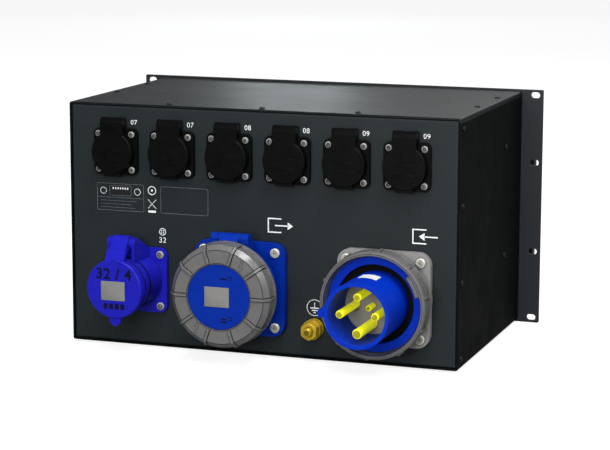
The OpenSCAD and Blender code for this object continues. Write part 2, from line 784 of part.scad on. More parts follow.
module thru_ring() {
    bore_r = 49;
    rim_t = 4;
    side_r = thru_ring_r - 1;
    bevel = 5;
    color([0.45, 0.445, 0.43]) at_thru() {
        rotate_extrude() polygon([
            [bore_r, thru_ring_back], [thru_ring_r, thru_ring_back], [thru_ring_r, thru_ring_back + rim_t],
            [side_r, thru_ring_back + rim_t], [side_r, thru_front - bevel - 1],
            [side_r - bevel, thru_front], [thru_disc_r + 0.08, thru_front],
            [thru_disc_r + 0.08, thru_plate_front + 0.3], [bore_r, thru_plate_front + 0.3]]);
        for (i = [0:grip_ribs - 1]) rotate(i * 360 / grip_ribs) thru_rib(side_r, bevel);
        for (a = [-10, 170]) rotate(a) rotate_extrude(angle = 20)
            translate([bore_r - 1.4, 47]) square([1.6, 3]);
    }
}

// Rib over the face, the bevel and the side of the ring
module thru_rib(side_r, bevel) {
    proud = 1.2;
    rotate([90, 0, 0]) translate([0, 0, -rib_w / 2]) linear_extrude(rib_w) polygon([
        [thru_disc_r + 1.5, thru_front - 1], [thru_disc_r + 1.5, thru_front + proud],
        [side_r - bevel + 0.5, thru_front + proud], [side_r + proud, thru_front - bevel - 0.5],
        [side_r + proud, thru_ring_back + 2], [side_r - 2, thru_ring_back + 2],
        [side_r - 2, thru_front - bevel - 2], [side_r - bevel - 2, thru_front - 2]]);
}

module inlet_housing() {
    color([0.42, 0.415, 0.41]) at_inlet() difference() {
        union() {
            flange_plate(large_flange, large_corner_r, gasket_t, large_top, large_screw_pitch,
                screw_large_r + hold);
            disc(large_barrel_r, large_back, gasket_t);
            disc(inlet_collar_r, gasket_t, inlet_face);
        }
        tube(60, 48.5, inlet_ring_back - 0.5, inlet_ring_back + 4.5);
        disc(inlet_pocket_r, 20, inlet_face + 1);
        disc(sleeve_r + hold, large_back + 4, 21);
        disc(12, large_back - 1, large_back + 5);
    }
}

module inlet_ring() {
    rib_back = inlet_ring_step + 4;
    inner_r = inlet_collar_r + 0.08;
    color([0.43, 0.425, 0.42]) at_inlet() {
        rotate_extrude() polygon([
            [48.6, inlet_ring_back], [inlet_hub_r, inlet_ring_back], [inlet_hub_r, inlet_ring_step],
            [inlet_ring_r, inlet_ring_step + 3], [inlet_ring_r, inlet_ring_front - 3],
            [inlet_ring_r - 1.2, inlet_ring_front], [inlet_ring_r - 4, inlet_ring_front],
            [inlet_ring_r - 5, inlet_annulus_front - 1], [inner_r, inlet_annulus_front - 2],
            [inner_r, inlet_ring_back + 4], [48.6, inlet_ring_back + 4]]);
        for (i = [0:grip_ribs - 1]) rotate(12 + i * 360 / grip_ribs)
            translate([inlet_ring_r - 1, -rib_w / 2, rib_back])
                cube([2.4, rib_w, inlet_ring_front - 4 - rib_back]);
    }
}

// Contact sleeve with its key, and the coloured annulus round it
module inlet_sleeve() {
    key_h = 7.3;
    wall_r = inlet_pocket_r - hold;
    wall_t = 0.9;
    color([0.03, 0.2, 0.8]) at_inlet() difference() {
        union() {
            disc(sleeve_r, large_back + 4, sleeve_tip);
            rotate_extrude() polygon([
                [sleeve_r - 1, 20], [wall_r, 20], [wall_r, inlet_annulus_front],
                [wall_r - wall_t, inlet_annulus_front], [wall_r - wall_t, inlet_seal_back],
                [sleeve_r - 1, inlet_seal_back]]);
            rotate(42) rotate_extrude(angle = 330) translate([wall_r - 0.5, inlet_face])
                square([49.8 - wall_r + 0.5, inlet_annulus_front - inlet_face]);
            translate([-40.6, -key_h / 2, 62]) cube([9, key_h, sleeve_tip - 64]);
        }
        disc(sleeve_bore_r, large_back, sleeve_tip + 1);
    }
}

module inlet_seal() {
    color([0.02, 0.02, 0.02]) at_inlet()
        tube(inlet_pocket_r - 0.95, sleeve_r + hold, inlet_seal_back, inlet_seal_front);
}

module inlet_insert() {
    pit_depth = 3;
    color([0.42, 0.4, 0.4]) at_inlet() difference() {
        disc(sleeve_bore_r - hold, large_back + 4, insert_face);
        inlet_pin_places() disc($pin_r - pin_foot + hold, large_back, insert_face + 1);
        translate([-pin_circle_r, 0, 0]) disc(7, insert_face - pit_depth, insert_face + 1);
    }
}

// Three line pins, the larger earth pin at the bottom, and the short pilot pin in the middle
module inlet_pin_places() {
    for (a = [0, 90, 180]) rotate(a) translate([pin_circle_r, 0, 0]) {
        $pin_r = pin_r;
        $pin_tip = pin_tip;
        children();
    }
    translate([0, -pin_circle_r, 0]) {
        $pin_r = earth_pin_r;
        $pin_tip = pin_tip;
        children();
    }
    $pin_r = pilot_pin_r;
    $pin_tip = pilot_tip;
    children();
}

module inlet_pins() {
    color([0.85, 0.85, 0.1]) at_inlet() inlet_pin_places() {
        disc($pin_r - pin_foot, pin_back, insert_face + 1);
        chamfered_disc($pin_r, insert_face + 1, $pin_tip, 1);
    }
}

// ---------- earth stud ----------

module earth_stud() {
    color([0.78, 0.62, 0.1]) at_stud() {
        disc(stud_r, -22, stud_thread_end);
        chamfered_disc(stud_r - 0.3, stud_thread_end, 26, 1);
    }
}

module hex_nut(z0, z1) {
    nut_r = 9.8;
    intersection() {
        difference() {
            translate([0, 0, z0]) rotate(30) cylinder(r = nut_r, h = z1 - z0, $fn = 6);
            disc(stud_r + hold, z0 - 1, z1 + 1);
        }
        union() {
            disc(nut_r + 1, z0, z1 - 1.5);
            translate([0, 0, z1 - 1.5]) cylinder(r1 = nut_r + 0.4, r2 = nut_r - 1.6, h = 1.5);
        }
    }
}

module earth_nuts() {
    color([0.78, 0.62, 0.1]) at_stud() {
        hex_nut(2, 10);
        hex_nut(12, 20);
        rotate([180, 0, 0]) hex_nut(sheet_t + 2, sheet_t + 9);
    }
}

module earth_washers() {
    washer_t = 2;
    color([0.78, 0.62, 0.1]) at_stud() for (z = [0, 10, -sheet_t - washer_t])
        tube(10.5, stud_r + gap, z, z + washer_t);
}

// ---------- breakers ----------

// Breaker seen from the side: [distance from the rack plane, height]
module breaker_profile() {
    difference() {
        union() {
            translate([rail_plane, -breaker_h / 2]) square([shoulder_y - rail_plane, breaker_h]);
            translate([shoulder_y - 1, -nose_h / 2]) square([nose_front - shoulder_y + 1, nose_h]);
        }
        translate([rail_plane - 1, -17.7]) square([2.2, 35.4]);
    }
}

// A profile drawn as [distance from the rack plane, height], swept along X at the breakers' height
module along_x(x0, x1) {
    translate([x0, 0, breaker_z]) rotate([90, 0, 90]) linear_extrude(x1 - x0) children();
}

module breaker_cases() {
    pocket_w = toggle_w + 2 * gap;
    color([0.82, 0.82, 0.8]) for (i = [0:len(breaker_poles) - 1]) difference() {
        along_x(breaker_x(i) + gap, breaker_x(i) + breaker_poles[i] * module_w - gap) breaker_profile();
        for (p = toggle_modules(i)) translate([breaker_x(i) + (p + 0.5) * module_w - pocket_w / 2, 0, 0])
            translate([0, 0, breaker_z]) rotate([90, 0, 90]) linear_extrude(pocket_w) {
                translate([drum_y, 0]) circle(drum_r + gap);
                translate([nose_front - 4, -10]) square([5, 20]);
            }
        if (i == 1) translate([button_x(), 0, breaker_z + button_z])
            cube([button_size + 2 * gap, 40, button_size + 2 * gap], center = true);
    }
}

// The residual current device has one toggle; every other breaker has one a pole
function toggle_modules(i) = i == 1 ? [rcd_toggle_module] : [for (p = [0:breaker_poles[i] - 1]) p];
function button_x() = breaker_x(1) + 1.5 * module_w;

// Drum, toggle and tie bar of breaker i; the toggle points up at rest
module breaker_lever(i) {
    places = toggle_modules(i);
    first = breaker_x(i) + (places[0] + 0.5) * module_w;
    last = breaker_x(i) + (places[len(places) - 1] + 0.5) * module_w;
    color(i == 1 ? [0.1, 0.2, 0.5] : [0.1, 0.1, 0.1]) {
        for (p = places) translate([breaker_x(i) + (p + 0.5) * module_w - toggle_w / 2, 0, breaker_z])
            rotate([90, 0, 90]) linear_extrude(toggle_w) lever_profile();
        translate([first - toggle_w / 2, drum_y, breaker_z]) rotate([toggle_angle, 0, 0])
            translate([0, 12.5, -1.8]) cube([last - first + toggle_w, 3.6, 3.6]);
    }
}

module lever_profile() {
    translate([drum_y, 0]) {
        circle(drum_r);
        rotate(toggle_angle) {
            translate([0, -2.2]) square([13, 4.4]);
            translate([13, 0]) circle(2.2);
        }
    }
}

module test_button() {
    color([0.9, 0.75, 0.1]) translate([button_x(), nose_front + 2 - 5.5, breaker_z + button_z])
        cube([button_size, 11, button_size], center = true);
}

module phase_lamps() {
    color([0.8, 0.1, 0.1]) for (x = lamp_x) on_front(x, lamp_z) {
        disc(lamp_r, -18, rack_t);
        chamfered_disc(lamp_r + 2, rack_t, rack_t + 2.5, 1);
        disc(lamp_r - 1, rack_t + 2, rack_t + 5);
    }
}

// Top-hat rail seen from its end: [distance from the rack plane, height]
module rail_profile() {
    back = rail_plane - 6.5;
    translate([back, -13.5]) square([1, 27]);
    for (s = [-1, 1]) {
        translate([back, s > 0 ? 12.5 : -13.5]) square([7.5, 1]);
        translate([back + 6.5, s > 0 ? 12.5 : -17.5]) square([1, 5]);
    }
}

module din_rail() { color([0.7, 0.72, 0.73]) along_x(-206, 206) rail_profile(); }

module rail_brackets() {
    face_y = rail_plane - 6.5;
    reach = 20;
    wall_x = half_w - 2 * sheet_t;
    color([0.6, 0.62, 0.63]) for (s = [-1, 1]) difference() {
        union() {
            translate([s > 0 ? wall_x : -wall_x - sheet_t, face_y - reach, breaker_z - 75])
                cube([sheet_t, reach, 150]);
            translate([s > 0 ? wall_x - 18 : -wall_x - sheet_t, face_y - sheet_t, breaker_z - 75])
                cube([18 + sheet_t, sheet_t, 150]);
        }
        for (z = bracket_screw_z) case_side_hole(bracket_y, z);
    }
}

module terminal_block() {
    ways = 4;
    color([0.55, 0.56, 0.55]) translate(terminal_at) difference() {
        cube([ways * terminal_pitch, 46, 42]);
        for (i = [0:ways - 1]) translate([(i + 0.5) * terminal_pitch, 0, 0]) {
            translate([0, 23, 30]) cylinder(r = 5, h = 20);
            translate([0, -1, 16]) rotate([-90, 0, 0]) cylinder(r = 7, h = 12);
            translate([0, 35, 16]) rotate([-90, 0, 0]) cylinder(r = 7, h = 12);
        }
    }
}

module earth_bar() {
    ways = 8;
    color([0.8, 0.65, 0.25]) translate(earth_bar_at) {
        difference() {
            translate([0, 0, 18]) cube([ways * 13, 12, 8]);
            for (i = [0:ways - 1]) translate([6.5 + i * 13, 6, 17]) cylinder(r = 2.5, h = 12);
        }
        for (x = [2, ways * 13 - 12]) translate([x, 1, 0]) cube([10, 10, 18.5]);
    }
}

// Cable that runs through the given points, with a slight bulge where it turns
module cable(points, r) {
    for (i = [0:len(points) - 2]) {
        run = points[i + 1] - points[i];
        length = norm(run);
        translate(points[i]) rotate([0, acos(run[2] / length), atan2(run[1], run[0])])
            cylinder(r = r, h = length);
    }
    for (i = [1:len(points) - 2]) translate(points[i]) sphere(r * 1.06);
}

module internal_cables() {
    core_r = 4.2;
    block_y = [terminal_at[1] + 10.5, terminal_at[1] + 35.5];
    entry_z = terminal_at[2] + 16;
    color([0.25, 0.15, 0.1]) for (i = [0:3]) {
        x = terminal_at[0] + 12 + i * terminal_pitch;
        cable([[inlet_x - 9 + i * 6, rear_y - large_back + 4, large_z + (i % 2) * 12 - 6],
               [x, rear_y + 75, large_z - 10], [x, rear_y + 92, entry_z], [x, block_y[0], entry_z]], core_r);
    }
    color([0.1, 0.1, 0.1]) for (i = [0:2]) {
        x = terminal_at[0] + 12 + i * terminal_pitch;
        target = breaker_x(0) + (i + 0.5) * module_w;
        cable([[x, block_y[1], entry_z], [x, -90, entry_z], [target, shoulder_y - 22, -62],
               [target, shoulder_y - 22, breaker_z - breaker_h / 2 - gap]], core_r);
    }
    bar_x = earth_bar_at[0] + 100;
    bar_z = earth_bar_at[2] + 22;
    color([0.3, 0.6, 0.15]) cable([[stud_x, rear_y + 24, stud_z], [stud_x, rear_y + 60, stud_z],
        [bar_x, earth_bar_at[1] - 30, bar_z], [bar_x, earth_bar_at[1] - gap, bar_z]], core_r * 0.8);
}

chassis_tray();
rear_panel();
top_cover();
front_panel();
rack_handles();
handle_screws();
case_screws();
socket_gaskets();
socket_frames();
socket_inserts();
socket_contacts();
socket_earth_clips();
socket_screws();
socket_hinge_pins();
socket_springs();
socket_lid(0);  // socket_lid_1
socket_lid(1);  // socket_lid_2
socket_lid(2);  // socket_lid_3
socket_lid(3);  // socket_lid_4
socket_lid(4);  // socket_lid_5
socket_lid(5);  // socket_lid_6
cee_gasket();
cee_housing();
cee_insert();
cee_contacts();
cee_screws();
cee_hinge_pin();
cee_lid();
large_gaskets();
large_flange_screws();
thru_housing();
thru_insert();
thru_contacts();
thru_hinge_pin();
thru_lid();
thru_lid_seal();
thru_ring();
inlet_housing();
inlet_ring();
inlet_sleeve();
inlet_seal();
inlet_insert();
inlet_pins();
earth_stud();
earth_nuts();
earth_washers();
breaker_cases();
breaker_lever(0);  // main_lever
breaker_lever(1);  // rcd_lever
breaker_lever(2);  // cee_lever
breaker_lever(3);  // circuit_lever_7
breaker_lever(4);  // circuit_lever_8
breaker_lever(5);  // circuit_lever_9
test_button();
phase_lamps();
din_rail();
rail_brackets();
terminal_block();
earth_bar();
internal_cables();
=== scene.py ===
"""Rack-mount mains distribution unit: materials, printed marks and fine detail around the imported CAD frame.

The frame's unit is the metre. The helpers for flat marks take millimetres, and say so.
"""
import math

import bmesh
import bpy
from mathutils import Matrix, Vector


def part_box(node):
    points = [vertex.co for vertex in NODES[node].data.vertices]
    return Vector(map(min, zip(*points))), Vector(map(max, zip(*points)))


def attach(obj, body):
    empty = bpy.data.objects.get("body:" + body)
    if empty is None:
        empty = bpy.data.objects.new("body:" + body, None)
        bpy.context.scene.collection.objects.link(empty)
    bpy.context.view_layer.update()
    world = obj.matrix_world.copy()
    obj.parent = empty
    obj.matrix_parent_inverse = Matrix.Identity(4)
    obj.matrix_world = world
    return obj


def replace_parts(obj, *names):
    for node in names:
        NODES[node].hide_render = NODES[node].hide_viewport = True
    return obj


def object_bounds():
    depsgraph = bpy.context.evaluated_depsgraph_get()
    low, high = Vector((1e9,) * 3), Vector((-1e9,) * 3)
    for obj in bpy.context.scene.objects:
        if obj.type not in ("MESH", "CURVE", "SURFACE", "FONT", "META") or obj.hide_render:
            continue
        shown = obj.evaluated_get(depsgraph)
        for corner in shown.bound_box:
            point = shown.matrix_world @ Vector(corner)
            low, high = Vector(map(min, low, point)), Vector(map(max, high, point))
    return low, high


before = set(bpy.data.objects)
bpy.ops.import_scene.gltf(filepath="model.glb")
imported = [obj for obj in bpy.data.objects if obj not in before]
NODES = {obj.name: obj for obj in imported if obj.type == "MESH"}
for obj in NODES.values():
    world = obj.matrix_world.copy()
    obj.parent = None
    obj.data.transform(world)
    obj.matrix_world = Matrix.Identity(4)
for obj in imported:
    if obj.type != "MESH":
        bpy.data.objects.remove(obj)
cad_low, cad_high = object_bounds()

MM = 0.001
INK = 0.05                          # thickness of a printed mark, in millimetres
LINE_LIFT = 0.06 * MM               # how far a moulding line stands off its surface
SHARP_ANGLE = math.radians(35)      # faces meeting at more than this are shaded as an edge
SCENE = bpy.context.scene
CAD_MATERIAL = {name: obj.material_slots[0].material.name.split(".")[0]
                for name, obj in NODES.items() if obj.material_slots}


# ---------- materials ----------

NOISE_RANGE = (0.3, 0.7)            # what a noise texture mostly covers
MIX_A, MIX_B, MIX_OUT = 6, 7, 2     # the colour sockets of a Mix node


class Graph:
    """Short names for building a material's node tree."""

    def __init__(self, name):
        self.material = bpy.data.materials.new(name)
        self.material.use_nodes = True
        self.tree = self.material.node_tree
        self.shader = self.tree.nodes["Principled BSDF"]
        self.object_space = self.add("ShaderNodeTexCoord").outputs["Object"]

    def add(self, kind, **settings):
        node = self.tree.nodes.new(kind)
        for key, value in settings.items():
            setattr(node, key, value)
        return node

    def feed(self, socket, value):
        if isinstance(value, bpy.types.NodeSocket):
            self.tree.links.new(value, socket)
        else:
            socket.default_value = value

    def set(self, **inputs):
        """Sets or links inputs of the shader; an underscore in a name stands for a space."""
        for key, value in inputs.items():
            self.feed(self.shader.inputs[key.replace("_", " ")], value)

    def math(self, operation, a, b, clamp=False):
        node = self.add("ShaderNodeMath", operation=operation, use_clamp=clamp)
        self.feed(node.inputs[0], a)
        self.feed(node.inputs[1], b)
        return node.outputs[0]

    def noise(self, size, detail, offset=0.0):
        """Noise with features about size metres across; another offset gives another pattern."""
        where = self.object_space
        if offset:
            mapping = self.add("ShaderNodeMapping")
            self.feed(mapping.inputs["Vector"], where)
            mapping.inputs["Location"].default_value = (offset, offset * 0.7, offset * 1.3)
            where = mapping.outputs["Vector"]
        node = self.add("ShaderNodeTexNoise")
        self.feed(node.inputs["Vector"], where)
        for key, number in (("Scale", 1 / size), ("Detail", detail), ("Roughness", 0.55)):
            node.inputs[key].default_value = number
        return node.outputs["Fac"]

    def cells(self, size):
        """The rounded pebbles of a powder coat or a moulded grain."""
        node = self.add("ShaderNodeTexVoronoi", feature="SMOOTH_F1")
        self.feed(node.inputs["Vector"], self.object_space)
        node.inputs["Scale"].default_value = 1 / size
        return node.outputs["Distance"]

    def remap(self, value, from_range, low, high):
        node = self.add("ShaderNodeMapRange")
        self.feed(node.inputs["Value"], value)
        for key, number in zip(("From Min", "From Max", "To Min", "To Max"), (*from_range, low, high)):
            node.inputs[key].default_value = number
        return node.outputs["Result"]

    def grey(self, value):
        node = self.add("ShaderNodeCombineColor")
        for channel in node.inputs:
            self.feed(channel, value)
        return node.outputs["Color"]

    def blend(self, factor, a, b, mode="MIX"):
        node = self.add("ShaderNodeMix", data_type="RGBA", blend_type=mode)
        self.feed(node.inputs["Factor"], factor)
        for index, value in ((MIX_A, a), (MIX_B, b)):
            self.feed(node.inputs[index], value if isinstance(value, bpy.types.NodeSocket) else (*value, 1.0))
        return node.outputs[MIX_OUT]

    def edges(self, radius):
        """1 on an edge sharper than the given radius and 0 on a plain face, with the rounded normal."""
        bevel = self.add("ShaderNodeBevel", samples=4)
        bevel.inputs["Radius"].default_value = radius
        dot = self.add("ShaderNodeVectorMath", operation="DOT_PRODUCT")
        self.feed(dot.inputs[0], bevel.outputs["Normal"])
        self.feed(dot.inputs[1], self.add("ShaderNodeNewGeometry").outputs["Normal"])
        nearly_flat, plain_edge = 0.98, 0.75
        return self.remap(dot.outputs["Value"], (nearly_flat, plain_edge), 0.0, 1.0), bevel.outputs["Normal"]

    def creases(self, distance):
        """Near 0 in a corner or a narrow gap, 1 in the open."""
        node = self.add("ShaderNodeAmbientOcclusion", samples=4)
        node.inputs["Distance"].default_value = distance
        return node.outputs["AO"]

    def bump(self, height, strength, distance, normal=None):
        node = self.add("ShaderNodeBump")
        node.inputs["Strength"].default_value = strength
        node.inputs["Distance"].default_value = distance
        self.feed(node.inputs["Height"], height)
        if normal is not None:
            self.feed(node.inputs["Normal"], normal)
        self.set(Normal=node.outputs["Normal"])


def surface(name, colour, rough, rough_spread=0.08, metal=0.0, specular=0.35, coat=0.0, glow=0.0,
            grain=0.0009, grain_bump=0.3, cells=False, mottle=0.07, mottle_size=0.05,
            wear=0.3, wear_colour=None, wear_radius=0.00035, grime_and_crease_shade=0.7, crease=0.0022, offset=0.0):
    """A finished material: uneven colour, surface grain, painted shade in corners, rubbed edges, varied
    roughness.

    Grain and mottle_size are the sizes of features, and wear_radius and crease say how far an edge or a corner
    reaches, all in metres. Mottle, wear and the painted shade in corners are strengths from 0 to 1.
    """
    g = Graph(name)
    broad = g.noise(mottle_size, 4, offset)
    fine = g.noise(grain * 3, 2, offset + 3)
    tone = g.math("ADD", g.remap(broad, NOISE_RANGE, 1 - mottle, 1 + mottle),
                  g.remap(fine, NOISE_RANGE, -mottle * 0.5, mottle * 0.5))
    base = g.blend(1.0, colour, g.grey(tone), "MULTIPLY")

    edge, soft_normal = g.edges(wear_radius)
    patches = g.remap(g.noise(0.006, 5, offset + 7), (0.42, 0.62), 0.15, 1.0)
    rub = g.math("MULTIPLY", g.math("MULTIPLY", edge, patches, clamp=True), wear, clamp=True)
    worn = wear_colour or tuple(min(1.0, c * 1.6 + 0.03) for c in colour)
    # painted shade: ambient occlusion darkens the base colour in corners and narrow gaps
    painted_crease_shade = g.grey(g.remap(g.creases(crease), (0.35, 0.9), 1 - grime_and_crease_shade, 1.0))
    g.set(Base_Color=g.blend(1.0, g.blend(rub, base, worn), painted_crease_shade, "MULTIPLY"))

    uneven = g.remap(g.noise(mottle_size * 0.35, 5, offset + 11), NOISE_RANGE,
                     rough - rough_spread, rough + rough_spread)
    polish = 0.12
    g.set(Roughness=g.math("SUBTRACT", uneven, g.math("MULTIPLY", rub, polish), clamp=True), Metallic=metal,
          Specular_IOR_Level=specular, Coat_Weight=coat, Coat_Roughness=0.25)
    # painted light: glow makes the surface give off light in its own colour, though it is no lamp
    if glow:
        g.set(Emission_Color=base, Emission_Strength=glow)
    g.bump(g.cells(grain) if cells else g.noise(grain, 2, offset), grain_bump, grain * 0.25, soft_normal)
    return g.material


def striped(name, colour, stripe):
    """A cable sheath with a second colour wound along it."""
    g = Graph(name)
    wave = g.add("ShaderNodeTexWave", wave_type="BANDS", bands_direction="DIAGONAL")
    g.feed(wave.inputs["Vector"], g.object_space)
    wave.inputs["Scale"].default_value = 60
    wave.inputs["Distortion"].default_value = 0.4
    band = g.remap(wave.outputs["Fac"], (0.48, 0.52), 0.0, 1.0)
    grime_and_crease_shade = g.grey(g.remap(g.noise(0.03, 4), NOISE_RANGE, 0.85, 1.1))
    g.set(Base_Color=g.blend(1.0, g.blend(band, colour, stripe), grime_and_crease_shade, "MULTIPLY"), Roughness=0.5)
    g.bump(g.noise(0.0015, 2), 0.2, 0.0002)
    return g.material


# what finishes of one kind share
POWDER_COAT = dict(grain=0.0011, grain_bump=0.35, cells=True, mottle=0.05)
MOULDED = dict(grain=0.0007, mottle_size=0.03)
PRINTED = dict(grain=0.0005, mottle_size=0.01)
SHEATH = dict(specular=0.3, grain=0.0012, grain_bump=0.2, mottle=0.1, mottle_size=0.03, wear=0.2)

